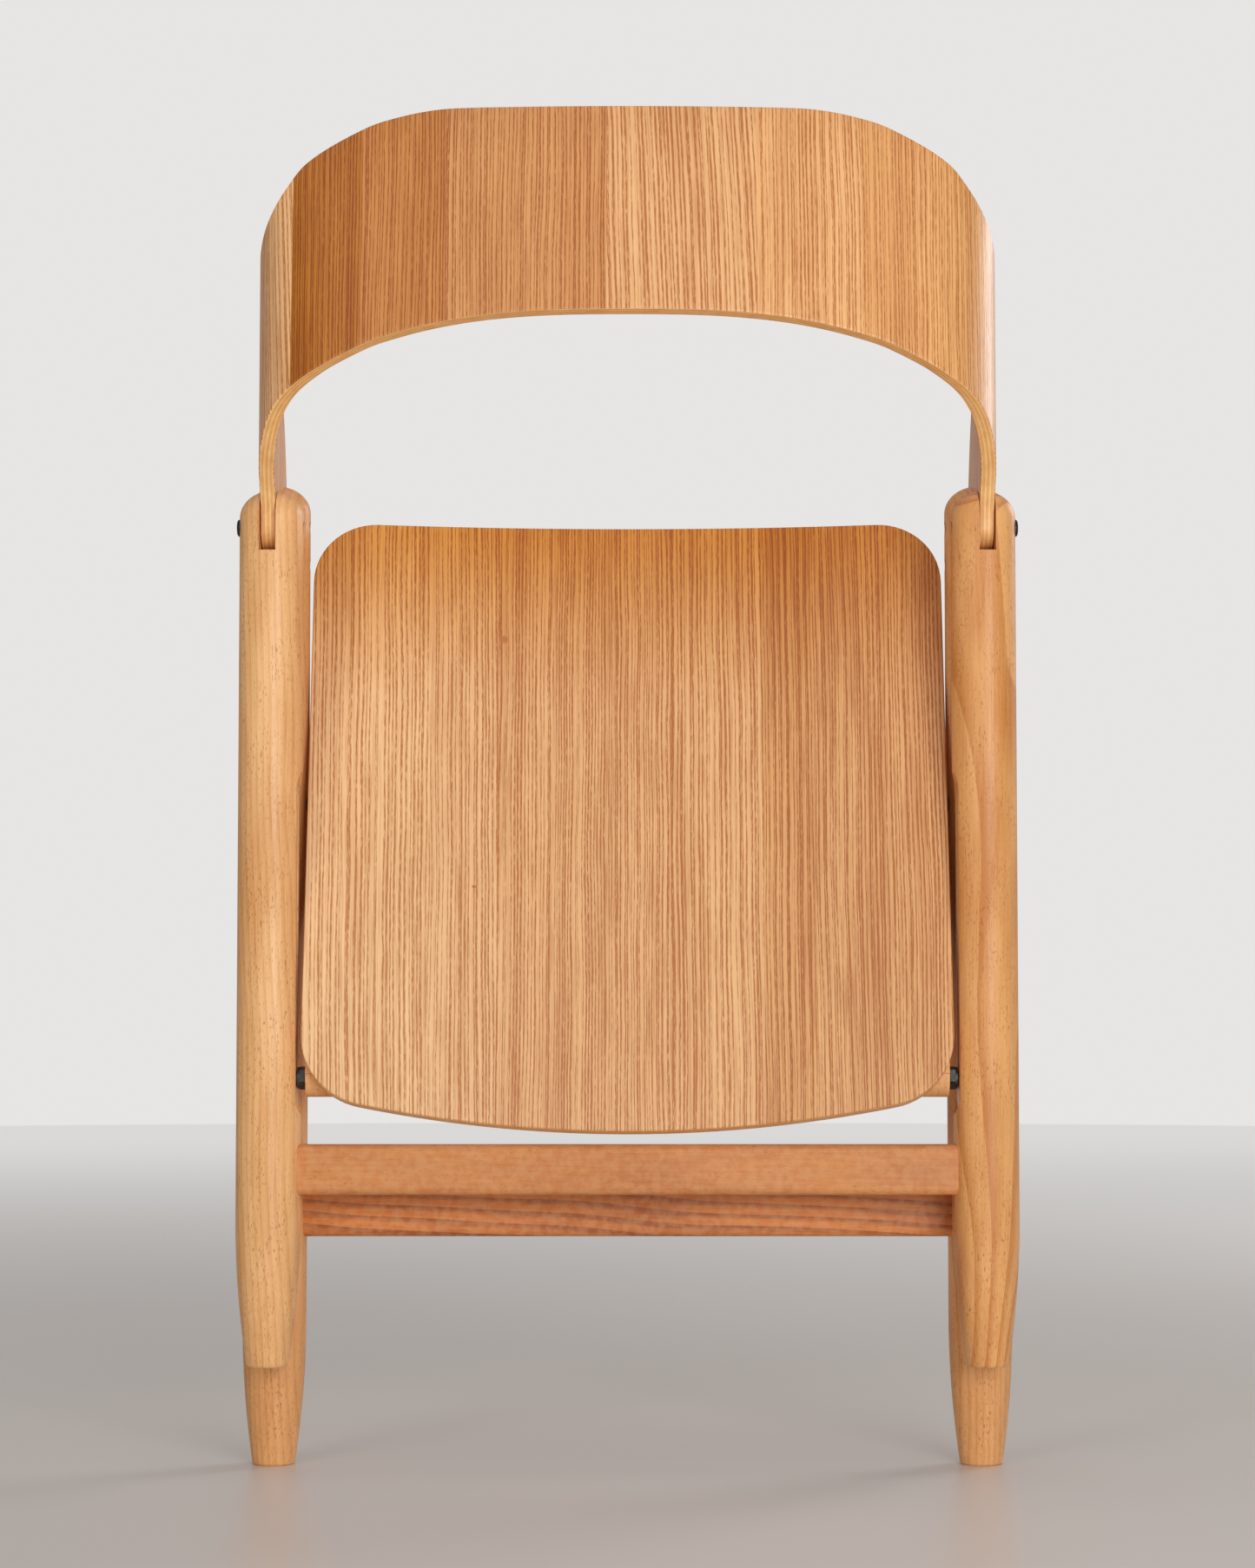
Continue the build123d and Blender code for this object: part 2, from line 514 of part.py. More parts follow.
def main():
    os.makedirs("parts", exist_ok=True)
    for name, side in SIDES:
        write_side(name, side)
    write("backrest", backrest())
    write("seat_panel", SEAT_PLANE.location * seat_panel())
    write("rear_stretcher", stretcher(0, REAR_STRETCHER_Z))
    write("front_stretcher", stretcher(LEG_SPACING, FRONT_STRETCHER_Z))
    for name, y, z in (("rear", 0, REAR_STRETCHER_Z), ("front", LEG_SPACING, FRONT_STRETCHER_Z)):
        dowels = [on_side(dowel, side) for _, side in SIDES for dowel in dowel_rods(y, z)]
        write(f"{name}_stretcher_dowels", *dowels)


main()
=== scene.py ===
# %% [markdown]
# # A folding chair in turned beech and moulded oak ply
# The chair stands folded flat on its front legs. Its bolts, stretchers and joints come ready made as
# a fixed frame. This lesson gives every part its finish, and builds the pieces whose beauty is in a
# smooth surface again: the moulded back, the dished seat and the turned legs. Last come the screws.
# Everything is in metres. X runs across the chair, +Y is the way a sitter faces, and +Z is up.

# %% Load the frame
import json
from math import atan2, cos, degrees, hypot, pi, radians, sin, sqrt, tan

import bmesh
import bpy
import numpy as np
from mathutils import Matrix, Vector


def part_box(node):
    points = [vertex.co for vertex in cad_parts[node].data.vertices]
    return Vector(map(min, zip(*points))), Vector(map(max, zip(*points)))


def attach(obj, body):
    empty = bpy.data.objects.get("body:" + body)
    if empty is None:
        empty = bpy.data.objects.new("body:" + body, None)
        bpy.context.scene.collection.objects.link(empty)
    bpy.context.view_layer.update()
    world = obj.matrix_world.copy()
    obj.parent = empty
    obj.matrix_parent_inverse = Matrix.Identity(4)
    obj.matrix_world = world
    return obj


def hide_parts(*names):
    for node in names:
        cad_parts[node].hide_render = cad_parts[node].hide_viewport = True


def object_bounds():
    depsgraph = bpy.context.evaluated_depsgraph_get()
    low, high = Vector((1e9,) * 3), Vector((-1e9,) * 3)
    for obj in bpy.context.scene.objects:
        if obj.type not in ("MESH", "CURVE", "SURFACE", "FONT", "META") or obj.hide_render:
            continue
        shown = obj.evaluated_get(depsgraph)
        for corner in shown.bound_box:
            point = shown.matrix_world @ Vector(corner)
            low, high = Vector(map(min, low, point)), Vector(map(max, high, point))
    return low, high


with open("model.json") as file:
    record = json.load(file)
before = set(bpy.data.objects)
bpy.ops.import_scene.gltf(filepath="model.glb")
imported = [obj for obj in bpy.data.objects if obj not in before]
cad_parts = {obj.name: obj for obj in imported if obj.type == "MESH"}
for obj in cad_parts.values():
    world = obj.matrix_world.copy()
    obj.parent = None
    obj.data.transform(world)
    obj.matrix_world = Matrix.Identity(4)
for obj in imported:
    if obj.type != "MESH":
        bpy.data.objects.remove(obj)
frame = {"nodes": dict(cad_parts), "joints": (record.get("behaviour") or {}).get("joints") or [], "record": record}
cad_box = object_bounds()
joint_places = {joint["name"]: Vector(joint["pos_m"]) for joint in frame["joints"]}
hinge = joint_places["rear_fold"]
seat_pivot = joint_places["seat_turn"]
print("nodes", len(frame["nodes"]), "hinge", hinge[:], "seat pivot", seat_pivot[:])

# %% [markdown]
# ## Camera
# A long lens from two and a half metres away keeps the legs parallel. It stands low, about knee
# height, and looks up a little, so that the underside of the back's lower edge shows.

# %% Camera
CAMERA_DISTANCE = 2.4
CAMERA_PITCH = radians(3.3)
CAMERA_DROP = 0.1767        # the line of sight passes this far under the hinge
LENS = 79.73

forward = Vector((0, cos(CAMERA_PITCH), sin(CAMERA_PITCH)))
upward = Vector((0, -sin(CAMERA_PITCH), cos(CAMERA_PITCH)))
camera = bpy.data.objects.new("camera", bpy.data.cameras.new("camera"))
camera.data.lens = LENS
camera.data.sensor_width = 36
camera.location = hinge - CAMERA_DISTANCE * forward - CAMERA_DROP * upward
camera.rotation_euler = (pi / 2 + CAMERA_PITCH, 0, 0)
bpy.context.scene.collection.objects.link(camera)
bpy.context.scene.camera = camera
bpy.context.scene.view_settings.view_transform = "Standard"
print("camera at", camera.location[:])

# %% [markdown]
# ## Shader nodes in plain Python
# A material is a graph. Two helpers keep it readable: one adds a node and wires its inputs, the other
# does a sum. An input may be a number, a colour or another node's output.

# %% Node helpers
def put(tree, kind, inputs=None, **settings):
    """Add a node, set its options and wire or fill its inputs."""
    node = tree.nodes.new(kind)
    for name, value in settings.items():
        setattr(node, name, value)
    for name, value in (inputs or {}).items():
        if isinstance(value, bpy.types.NodeSocket):
            tree.links.new(value, node.inputs[name])
        else:
            node.inputs[name].default_value = value
    return node


def calc(tree, operation, *values):
    """One math node, and its result."""
    return put(tree, "ShaderNodeMath", dict(enumerate(values)), operation=operation).outputs[0]


def remap(tree, value, low, high, new_low=0.0, new_high=1.0):
    """Stretch a range of values, clamped, with soft ends."""
    inputs = {"Value": value, "From Min": low, "From Max": high, "To Min": new_low, "To Max": new_high}
    return put(tree, "ShaderNodeMapRange", inputs, interpolation_type="SMOOTHSTEP").outputs["Result"]


def blend(tree, share, first, second, mode="MIX"):
    """Mix two colours."""
    node = put(tree, "ShaderNodeMix", data_type="RGBA", blend_type=mode)
    for socket, value in zip((node.inputs[0], node.inputs[6], node.inputs[7]), (share, first, second)):
        if isinstance(value, bpy.types.NodeSocket):
            tree.links.new(value, socket)
        else:
            socket.default_value = value
    return node.outputs[2]


def clamp(tree, value):
    """Hold a value between 0 and 1."""
    return put(tree, "ShaderNodeClamp", {"Value": value}).outputs[0]


def length_of(tree, first, second):
    """Length of a vector with two parts."""
    squares = [calc(tree, "MULTIPLY", value, value) for value in (first, second)]
    return calc(tree, "SQRT", calc(tree, "ADD", *squares))


def stretched(tree, across, along, depth, sizes):
    """Coordinates in units of a feature's own sizes, for a noise that is longer one way."""
    parts = [calc(tree, "DIVIDE", value, size) for value, size in zip((across, along, depth), sizes)]
    return put(tree, "ShaderNodeCombineXYZ", dict(zip("XYZ", parts))).outputs[0]


def noise(tree, vector, detail=2.0, roughness=0.5, **settings):
    """Perlin noise at scale 1 on ready-stretched coordinates."""
    inputs = {"Vector": vector, "Scale": 1.0, "Detail": detail, "Roughness": roughness}
    return put(tree, "ShaderNodeTexNoise", inputs, **settings).outputs["Fac"]


def colour(red, green, blue):
    """A display colour, 0 to 255, as the linear colour that shaders take."""
    def linear(value):
        value /= 255
        return value / 12.92 if value <= 0.04045 else ((value + 0.055) / 1.055) ** 2.4
    return (linear(red), linear(green), linear(blue), 1.0)


def new_group(name, inputs, outputs):
    """An empty shader group with named sockets: its tree, its inputs and its output node."""
    tree = bpy.data.node_groups.new(name, "ShaderNodeTree")
    for socket, default in inputs.items():
        kind = "NodeSocketColor" if isinstance(default, tuple) else "NodeSocketFloat"
        made = tree.interface.new_socket(socket, in_out="INPUT", socket_type=kind)
        made.default_value = default
    for socket, kind in outputs.items():
        tree.interface.new_socket(socket, in_out="OUTPUT", socket_type=kind)
    start, end = tree.nodes.new("NodeGroupInput"), tree.nodes.new("NodeGroupOutput")
    return tree, start.outputs, end


def use_group(tree, group, inputs):
    """Place a shader group in a material."""
    node = tree.nodes.new("ShaderNodeGroup")
    node.node_tree = group
    for name, value in inputs.items():
        if isinstance(value, bpy.types.NodeSocket):
            tree.links.new(value, node.inputs[name])
        else:
            node.inputs[name].default_value = value
    return node.outputs


def new_material(name):
    """A material with only its surface shader, ready to wire."""
    material = bpy.data.materials.new(name)
    material.use_nodes = True
    tree = material.node_tree
    return material, tree, tree.nodes["Principled BSDF"]


def bump(tree, surface, height, distance, strength=1.0):
    """Drive a surface's normal from a height."""
    node = put(tree, "ShaderNodeBump", {"Height": height, "Distance": distance, "Strength": strength})
    tree.links.new(node.outputs[0], surface.inputs["Normal"])


print("node helpers ready")

# %% [markdown]
# ## Straight-grained oak veneer
# Oak cut on the quarter shows its year rings as long dark lines, two to three millimetres apart, made
# of short open pores. A Voronoi pattern in one dimension gives lines at uneven distances. A slow noise
# makes them sway, and a stretched noise breaks them into pores. The face of a panel is laid up from
# several leaves, each with its own tone and ring width, so the spacing is an input.

# %% Oak grain group
# Feature sizes in metres across and along the grain, and how far the lines wander.
SWAY_SIZE = (0.05, 0.16, 1.0)
WOBBLE_SIZE = (0.004, 0.016, 1.0)
PORE_SIZE = (0.0006, 0.0055, 1.0)
FIBRE_SIZE = (0.0009, 0.045, 1.0)
CLOUD_SIZE = (0.018, 0.22, 1.0)
SWAY = 0.005
WOBBLE = 0.0007


def make_oak_group():
    """Across and Along are distances on the veneer; Spacing is the ring width."""
    inputs = {"Across": 0.0, "Along": 0.0, "Spacing": 0.003, "Slant": 0.0, "Seed": 0.0,
              "Light": (1.0, 1.0, 1.0, 1.0), "Dark": (0.5, 0.5, 0.5, 1.0), "Contrast": 1.0}
    outputs = {"Color": "NodeSocketColor", "Line": "NodeSocketFloat", "Height": "NodeSocketFloat"}
    tree, given, end = new_group("oak_grain", inputs, outputs)
    along, seed = given["Along"], given["Seed"]
    leaned = calc(tree, "MULTIPLY_ADD", along, given["Slant"], given["Across"])
    slow = noise(tree, stretched(tree, leaned, along, seed, SWAY_SIZE), detail=1)
    quick = noise(tree, stretched(tree, leaned, along, seed, WOBBLE_SIZE), detail=1)
    sway = calc(tree, "MULTIPLY_ADD", slow, SWAY, calc(tree, "MULTIPLY", quick, WOBBLE))
    place = calc(tree, "ADD", leaned, sway)
    rings = calc(tree, "ADD", calc(tree, "DIVIDE", place, given["Spacing"]), calc(tree, "MULTIPLY", seed, 31))
    cells = {"W": rings, "Scale": 1.0, "Randomness": 0.75}
    nearest = put(tree, "ShaderNodeTexVoronoi", cells, voronoi_dimensions="1D").outputs
    tone = put(tree, "ShaderNodeTexWhiteNoise", {"W": nearest["W"]}, noise_dimensions="1D").outputs["Value"]
    width = calc(tree, "MULTIPLY_ADD", tone, 0.18, 0.17)
    line = calc(tree, "SUBTRACT", 1, remap(tree, calc(tree, "DIVIDE", nearest["Distance"], width), 0.1, 1.3))
    pores = noise(tree, stretched(tree, place, along, seed, PORE_SIZE), detail=2)
    porous = calc(tree, "MULTIPLY", line, remap(tree, pores, 0.34, 0.62, 0.30, 1.0))
    fibre = noise(tree, stretched(tree, place, along, seed, FIBRE_SIZE), detail=3)
    cloud = noise(tree, stretched(tree, place, along, seed, CLOUD_SIZE), detail=2)
    strength = calc(tree, "MULTIPLY", porous, calc(tree, "MULTIPLY_ADD", tone, 0.55, 0.72))
    strength = calc(tree, "ADD", strength, remap(tree, fibre, 0.36, 0.70, 0.0, 0.42))
    strength = calc(tree, "ADD", strength, remap(tree, cloud, 0.35, 0.70, -0.10, 0.14))
    strength = clamp(tree, calc(tree, "MULTIPLY", strength, given["Contrast"]))
    tree.links.new(blend(tree, strength, given["Light"], given["Dark"]), end.inputs["Color"])
    tree.links.new(strength, end.inputs["Line"])
    tree.links.new(calc(tree, "SUBTRACT", 1, porous), end.inputs["Height"])
    return tree


oak_group = make_oak_group()
print("oak group", len(oak_group.nodes), "nodes")

# %% [markdown]
# ## Plywood edge
# Where a panel is sawn, its layers show as thin stripes: end grain is darker, long grain is lighter, and
# a thin line of glue lies between them. The stripes follow the depth through the ply, which each panel
# stores as the third number of its own "ply" attribute.

# %% Ply edge group
PLY_LAYERS = 7
SAWN_SIZE = (0.02, 0.02, 0.6)           # across, along, and a share of the ply's depth
PLY_CLOUD_SIZE = (0.009, 0.009, 0.5)
PLY_SPECK_SIZE = (0.0012, 0.0012, 0.12)


def make_edge_group():
    """Depth runs from 0 at the outer face to 1 at the inner one."""
    inputs = {"Across": 0.0, "Along": 0.0, "Depth": 0.0,
              "Pale": colour(250, 202, 134), "Deep": colour(206, 140, 72)}
    outputs = {"Color": "NodeSocketColor", "Height": "NodeSocketFloat"}
    tree, given, end = new_group("ply_edge", inputs, outputs)
    across, along = given["Across"], given["Along"]
    rough = noise(tree, stretched(tree, across, along, given["Depth"], SAWN_SIZE))
    depth = calc(tree, "MULTIPLY_ADD", calc(tree, "SUBTRACT", rough, 0.5), 0.03, given["Depth"])
    layer = calc(tree, "MULTIPLY", depth, PLY_LAYERS)
    seam = remap(tree, calc(tree, "PINGPONG", layer, 0.5), 0.02, 0.11)
    parity = calc(tree, "MODULO", calc(tree, "FLOOR", layer), 2.0)
    cloud = noise(tree, stretched(tree, across, along, depth, PLY_CLOUD_SIZE), detail=3)
    speck = noise(tree, stretched(tree, across, along, depth, PLY_SPECK_SIZE))
    dark = calc(tree, "MULTIPLY_ADD", parity, 0.42, remap(tree, cloud, 0.3, 0.75, 0.0, 0.3))
    dark = calc(tree, "ADD", dark, remap(tree, speck, 0.62, 0.78, 0.0, 0.35))
    glue = calc(tree, "MULTIPLY", calc(tree, "SUBTRACT", 1, seam), 0.35)
    share = clamp(tree, calc(tree, "ADD", dark, glue))
    tree.links.new(blend(tree, share, given["Pale"], given["Deep"]), end.inputs["Color"])
    height = calc(tree, "MULTIPLY_ADD", seam, 0.7, calc(tree, "MULTIPLY", speck, 0.4))
    tree.links.new(height, end.inputs["Height"])
    return tree


edge_group = make_edge_group()
print("edge group", len(edge_group.nodes), "nodes")

# %% [markdown]
# ## Veneered panel material
# The back and the seat share one recipe: leaves of veneer on the two faces, plies on the edge, and a
# satin lacquer over both. A list of leaves says where each one starts along the panel, how it is
# toned, how wide its rings are, how far its grain slants and how strong its lines are. Towards one edge
# the face is darkened by a tone, which on the seat is painted shade, and a mark is a small knot or stain.

# %% Veneer material
LACQUER_ROUGHNESS = 0.34
BACK_PLY = 0.0105
SEAT_PLY = 0.012


def stepped(tree, place, leaves, pick):
    """A value that changes from leaf to leaf; leaves are sorted by where they start, in metres."""
    value = pick(leaves[0])
    for before, after in zip(leaves, leaves[1:]):
        past = calc(tree, "GREATER_THAN", place, after["start"])
        value = calc(tree, "MULTIPLY_ADD", past, pick(after) - pick(before), value)
    return value


def veneer_material(name, leaves, light, dark, ply, edge_darkening, marks=()):
    """Oak veneer laid in leaves, with plies showing on the sawn edge."""
    material, tree, surface = new_material(name)
    stored = put(tree, "ShaderNodeAttribute", attribute_name="ply").outputs["Vector"]
    across, along, depth = put(tree, "ShaderNodeSeparateXYZ", {"Vector": stored}).outputs
    on_edge = put(tree, "ShaderNodeAttribute", attribute_name="rim").outputs["Fac"]
    grain = use_group(tree, oak_group, {
        "Across": across, "Along": along, "Light": light, "Dark": dark,
        "Spacing": stepped(tree, across, leaves, lambda leaf: leaf["rings"]),
        "Slant": stepped(tree, across, leaves, lambda leaf: leaf["slant"]),
        "Seed": stepped(tree, across, leaves, lambda leaf: leaf["seed"]),
        "Contrast": stepped(tree, across, leaves, lambda leaf: leaf["contrast"]),
    })
    face = grain["Color"]
    tone = put(tree, "ShaderNodeCombineColor", {
        "Red": stepped(tree, across, leaves, lambda leaf: leaf["tone"][0]),
        "Green": stepped(tree, across, leaves, lambda leaf: leaf["tone"][1]),
        "Blue": stepped(tree, across, leaves, lambda leaf: leaf["tone"][2]),
    }).outputs[0]
    face = blend(tree, 1.0, face, tone, "MULTIPLY")
    # Darken the face towards one edge by the given tone; on the seat this darkening is painted shade.
    darkened_share = remap(tree, along, edge_darkening["from"], edge_darkening["to"])
    face = blend(tree, 1.0, face, blend(tree, darkened_share, (1, 1, 1, 1), edge_darkening["tone"]), "MULTIPLY")
    for mark in marks:
        gap_x = calc(tree, "DIVIDE", calc(tree, "SUBTRACT", across, mark["across"]), mark["width"])
        gap_y = calc(tree, "DIVIDE", calc(tree, "SUBTRACT", along, mark["along"]), mark["length"])
        spot = remap(tree, length_of(tree, gap_x, gap_y), 0.45, 1.0, mark["strength"], 0.0)
        face = blend(tree, spot, face, mark["colour"])
    layer = calc(tree, "DIVIDE", depth, ply)
    edge = use_group(tree, edge_group, {"Across": across, "Along": along, "Depth": layer})
    share = remap(tree, on_edge, 0.35, 0.65)
    tree.links.new(blend(tree, share, face, edge["Color"]), surface.inputs["Base Color"])
    polish = noise(tree, stretched(tree, across, along, depth, (0.09, 0.13, 1.0)), detail=3)
    rough = remap(tree, polish, 0.3, 0.7, LACQUER_ROUGHNESS - 0.05, LACQUER_ROUGHNESS + 0.06)
    rough = calc(tree, "ADD", rough, calc(tree, "MULTIPLY", grain["Line"], 0.10))
    tree.links.new(calc(tree, "MULTIPLY_ADD", share, 0.08, rough), surface.inputs["Roughness"])
    height = put(tree, "ShaderNodeMix", {"Factor": share, "A": grain["Height"], "B": edge["Height"]})
    bump(tree, surface, height.outputs["Result"], 0.00012, 0.8)
    surface.inputs["Coat Weight"].default_value = 0.12
    surface.inputs["Coat Roughness"].default_value = 0.22
    return material


print("lacquer roughness", LACQUER_ROUGHNESS)

# %% Leaves of the back and the seat
def leaf(start, rings, tone, seed, slant=0.0, contrast=1.0):
    """One leaf of veneer: where it starts, its ring width and its tone."""
    return {"start": start, "rings": rings, "tone": tone, "seed": seed, "slant": slant, "contrast": contrast}


back_leaves = [
    # The two leftmost leaves are toned pale and bluish: painted reflection where the band turns away at its left
    # edge, over that leaf's real seam and slant.
    leaf(-1.0, 0.0030, (1.15, 1.20, 1.15), 1.3),
    leaf(-0.262, 0.0028, (1.26, 1.38, 1.42), 2.1, slant=0.07),
    # From here to the middle the leaves get darker and more orange towards the left corner: painted shade on the
    # side of the band turned from the light, over each leaf's own tone.
    leaf(-0.2315, 0.0021, (0.66, 0.44, 0.12), 3.7, contrast=1.25),
    leaf(-0.180, 0.0022, (0.77, 0.58, 0.32), 4.2, contrast=1.15),
    leaf(-0.122, 0.0023, (0.88, 0.76, 0.58), 5.9),
    leaf(-0.062, 0.0023, (0.90, 0.78, 0.61), 6.8),
    leaf(-0.014, 0.0029, (1.06, 1.08, 1.03), 6.4, slant=0.03, contrast=1.15),
    leaf(0.086, 0.0023, (1.08, 1.07, 0.95), 7.7),
    leaf(0.158, 0.0021, (0.99, 0.90, 0.68), 8.1, contrast=0.9),
    leaf(0.197, 0.0022, (1.06, 1.02, 0.82), 9.6, contrast=0.85),
    leaf(0.262, 0.0026, (1.06, 1.02, 0.88), 11.2),
]
# The back is darker towards its top edge.
BACK_TOP_DARKENING = {"from": 0.22, "to": 0.30, "tone": (0.93, 0.90, 0.86, 1)}
back_material = veneer_material(
    "oak_back", back_leaves, colour(236, 181, 129), colour(182, 110, 56), BACK_PLY, BACK_TOP_DARKENING,
)
seat_leaves = [
    leaf(-1.0, 0.0031, (1.06, 1.10, 1.10), 21.3, slant=0.012, contrast=1.1),
    leaf(-0.138, 0.0027, (1.02, 1.02, 1.0), 22.9, slant=0.012, contrast=1.1),
    leaf(-0.090, 0.0025, (0.98, 0.93, 0.86), 23.7, contrast=1.15),
    leaf(-0.052, 0.0022, (0.96, 0.90, 0.82), 23.1, contrast=1.2),
    leaf(0.030, 0.0028, (0.99, 0.95, 0.88), 24.6, contrast=1.2),
    leaf(0.094, 0.0023, (0.88, 0.76, 0.58), 25.2, contrast=1.3),
    leaf(0.130, 0.0025, (0.91, 0.82, 0.69), 26.8, contrast=1.3),
]
# Painted shade: the seat is darker and more orange towards its front edge, the top of the folded seat.
SEAT_PAINTED_SHADE = {"from": 0.05, "to": 0.21, "tone": (0.79, 0.58, 0.22, 1)}
seat_marks = [
    {"across": -0.087, "along": 0.118, "width": 0.003, "length": 0.004, "strength": 0.75,
     "colour": colour(186, 104, 48)},
    {"across": -0.106, "along": -0.064, "width": 0.0022, "length": 0.0014, "strength": 0.8,
     "colour": colour(150, 92, 48)},
]
seat_material = veneer_material(
    "oak_seat", seat_leaves, colour(242, 193, 140), colour(186, 114, 54), SEAT_PLY, SEAT_PAINTED_SHADE, seat_marks,
)
print("veneer materials", back_material.name, seat_material.name)

# %% [markdown]
# ## Beech
# Beech is plain: faint year rings, and many short dark ray flecks that lie along the grain. A leg is
# turned from a square blank, so the rings cut its surface in long slow figures. The rings here are
# real ones, cylinders round a pith that lies beside the leg or in it and leans a little, so the lathe's
# cut finds its own flame shapes. The pattern is solid and needs no unwrapping.

# %% Beech group
BEECH_FIBRE_SIZE = (0.0011, 0.0011, 0.03)
FLECK_WIDTH = 0.00085
FLECK_LENGTH = 0.0034


def make_beech_group():
    """Across, Side and Along are distances; Along follows the grain."""
    inputs = {"Across": 0.0, "Side": 0.0, "Along": 0.0, "Pith": 0.09, "Lean": 0.03, "Rings": 0.0045,
              "Figure": 0.3, "Seed": 0.0,
              "Light": colour(242, 184, 124), "Dark": colour(208, 138, 74), "Fleck": colour(142, 78, 36)}
    outputs = {"Color": "NodeSocketColor", "Fleck": "NodeSocketFloat", "Height": "NodeSocketFloat"}
    tree, given, end = new_group("beech_grain", inputs, outputs)
    across, side, along, seed = (given[name] for name in ("Across", "Side", "Along", "Seed"))
    bow = noise(tree, stretched(tree, across, along, seed, (0.07, 0.22, 1.0)), detail=1)
    leaned = calc(tree, "MULTIPLY_ADD", along, given["Lean"], calc(tree, "MULTIPLY_ADD", bow, 0.016, across))
    x = calc(tree, "ADD", leaned, given["Pith"])
    ring = calc(tree, "FRACT", calc(tree, "DIVIDE", length_of(tree, x, side), given["Rings"]))
    late = remap(tree, ring, 0.35, 0.98)
    fall = calc(tree, "SUBTRACT", 1, remap(tree, ring, 0.965, 1.0))
    figure = calc(tree, "MULTIPLY", calc(tree, "MULTIPLY", late, fall), given["Figure"])
    cloud = noise(tree, stretched(tree, across, along, side, (0.022, 0.11, 0.022)), detail=2)
    fibre = noise(tree, stretched(tree, across, side, along, BEECH_FIBRE_SIZE), detail=2)
    flecks = put(tree, "ShaderNodeCombineXYZ", {
        "X": calc(tree, "DIVIDE", across, FLECK_WIDTH), "Y": calc(tree, "DIVIDE", side, FLECK_WIDTH),
        "Z": calc(tree, "MULTIPLY_ADD", seed, 9.0, calc(tree, "DIVIDE", along, FLECK_LENGTH)),
    }).outputs[0]
    fleck = remap(tree, noise(tree, flecks, detail=1), 0.58, 0.70)
    patch = noise(tree, stretched(tree, across, along, side, (0.012, 0.03, 0.012)), detail=1)
    fleck = calc(tree, "MULTIPLY", fleck, remap(tree, patch, 0.35, 0.65, 0.25, 0.85))
    share = calc(tree, "ADD", figure, remap(tree, cloud, 0.3, 0.7, 0.05, 0.50))
    share = calc(tree, "ADD", share, remap(tree, fibre, 0.35, 0.7, 0.0, 0.22))
    wood = blend(tree, clamp(tree, share), given["Light"], given["Dark"])
    wood = blend(tree, calc(tree, "MULTIPLY", fleck, 0.62), wood, given["Fleck"])
    tree.links.new(wood, end.inputs["Color"])
    tree.links.new(fleck, end.inputs["Fleck"])
    height = calc(tree, "MULTIPLY_ADD", fibre, 0.5, calc(tree, "SUBTRACT", 1, fleck))
    tree.links.new(height, end.inputs["Height"])
    return tree


beech_group = make_beech_group()
print("beech group", len(beech_group.nodes), "nodes")

# %% [markdown]
# ## Worn corners
# Hands and floors rub a chair's corners first. There the lacquer darkens and polishes, and at the very
# edge it thins and shows paler wood. Geometry's Pointiness finds such corners from the mesh itself. The
# beech material below lays this wear over the grain.

# %% Edge wear group
def make_wear_group():
    """A mask that is 1 on sharp outer corners, broken up by noise."""
    tree, given, end = new_group("edge_wear", {"Reach": 0.03}, {"Mask": "NodeSocketFloat"})
    point = put(tree, "ShaderNodeNewGeometry").outputs["Pointiness"]
    place = put(tree, "ShaderNodeTexCoord").outputs["Object"]
    scaled = put(tree, "ShaderNodeVectorMath", {0: place, "Scale": 160.0}, operation="SCALE").outputs[0]
    patchy = noise(tree, scaled, detail=3)
    sharp = calc(tree, "DIVIDE", calc(tree, "SUBTRACT", point, 0.515), given["Reach"])
    mask = calc(tree, "MULTIPLY", clamp(tree, sharp), remap(tree, patchy, 0.35, 0.65, 0.35, 1.0))
    tree.links.new(mask, end.inputs["Mask"])
    return tree


wear_group = make_wear_group()
print("wear group", len(wear_group.nodes), "nodes")

# %% Beech material
def beech_material(name, grain_axis="Z", middle=(0, 0, 0), **changes):
    """Beech whose grain runs along one axis, centred on a piece so that its pith lies beside it."""
    material, tree, surface = new_material(name)
    place = put(tree, "ShaderNodeTexCoord").outputs["Object"]
    centred = put(tree, "ShaderNodeMapping", {"Vector": place, "Location": tuple(-c for c in middle)})
    x, y, z = put(tree, "ShaderNodeSeparateXYZ", {"Vector": centred.outputs[0]}).outputs
    across, side, along = {"Z": (x, y, z), "X": (z, y, x)}[grain_axis]
    grain = use_group(tree, beech_group, {"Across": across, "Side": side, "Along": along, **changes})
    wear = use_group(tree, wear_group, {})["Mask"]
    worn = blend(tree, calc(tree, "MULTIPLY", wear, 0.35), grain["Color"], colour(228, 176, 124))
    tree.links.new(worn, surface.inputs["Base Color"])
    polish = noise(tree, stretched(tree, across, along, side, (0.03, 0.08, 0.03)), detail=3)
    rough = calc(tree, "MULTIPLY_ADD", grain["Fleck"], 0.15, remap(tree, polish, 0.3, 0.7, 0.38, 0.50))
    tree.links.new(calc(tree, "MULTIPLY_ADD", wear, 0.12, rough), surface.inputs["Roughness"])
    bump(tree, surface, grain["Height"], 0.00006, 0.7)
    surface.inputs["Specular IOR Level"].default_value = 0.36
    surface.inputs["Coat Weight"].default_value = 0.08
    surface.inputs["Coat Roughness"].default_value = 0.3
    return material


def middle_of(node):
    """Centre of a node's box."""
    low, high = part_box(node)
    return (low + high) / 2


print("middle of a stretcher", middle_of("rear_stretcher")[:])

# %% [markdown]
# ## Metal and plastic
# The bolts are blackened steel, the screws are zinc plated, and the sliding bushes are nylon. Each is a
# plain shader with fine scratches and a tint that wanders, worn brighter on its corners. The nodes that
# stay as they are get these finishes, and each beech piece gets its own cut of the wood.

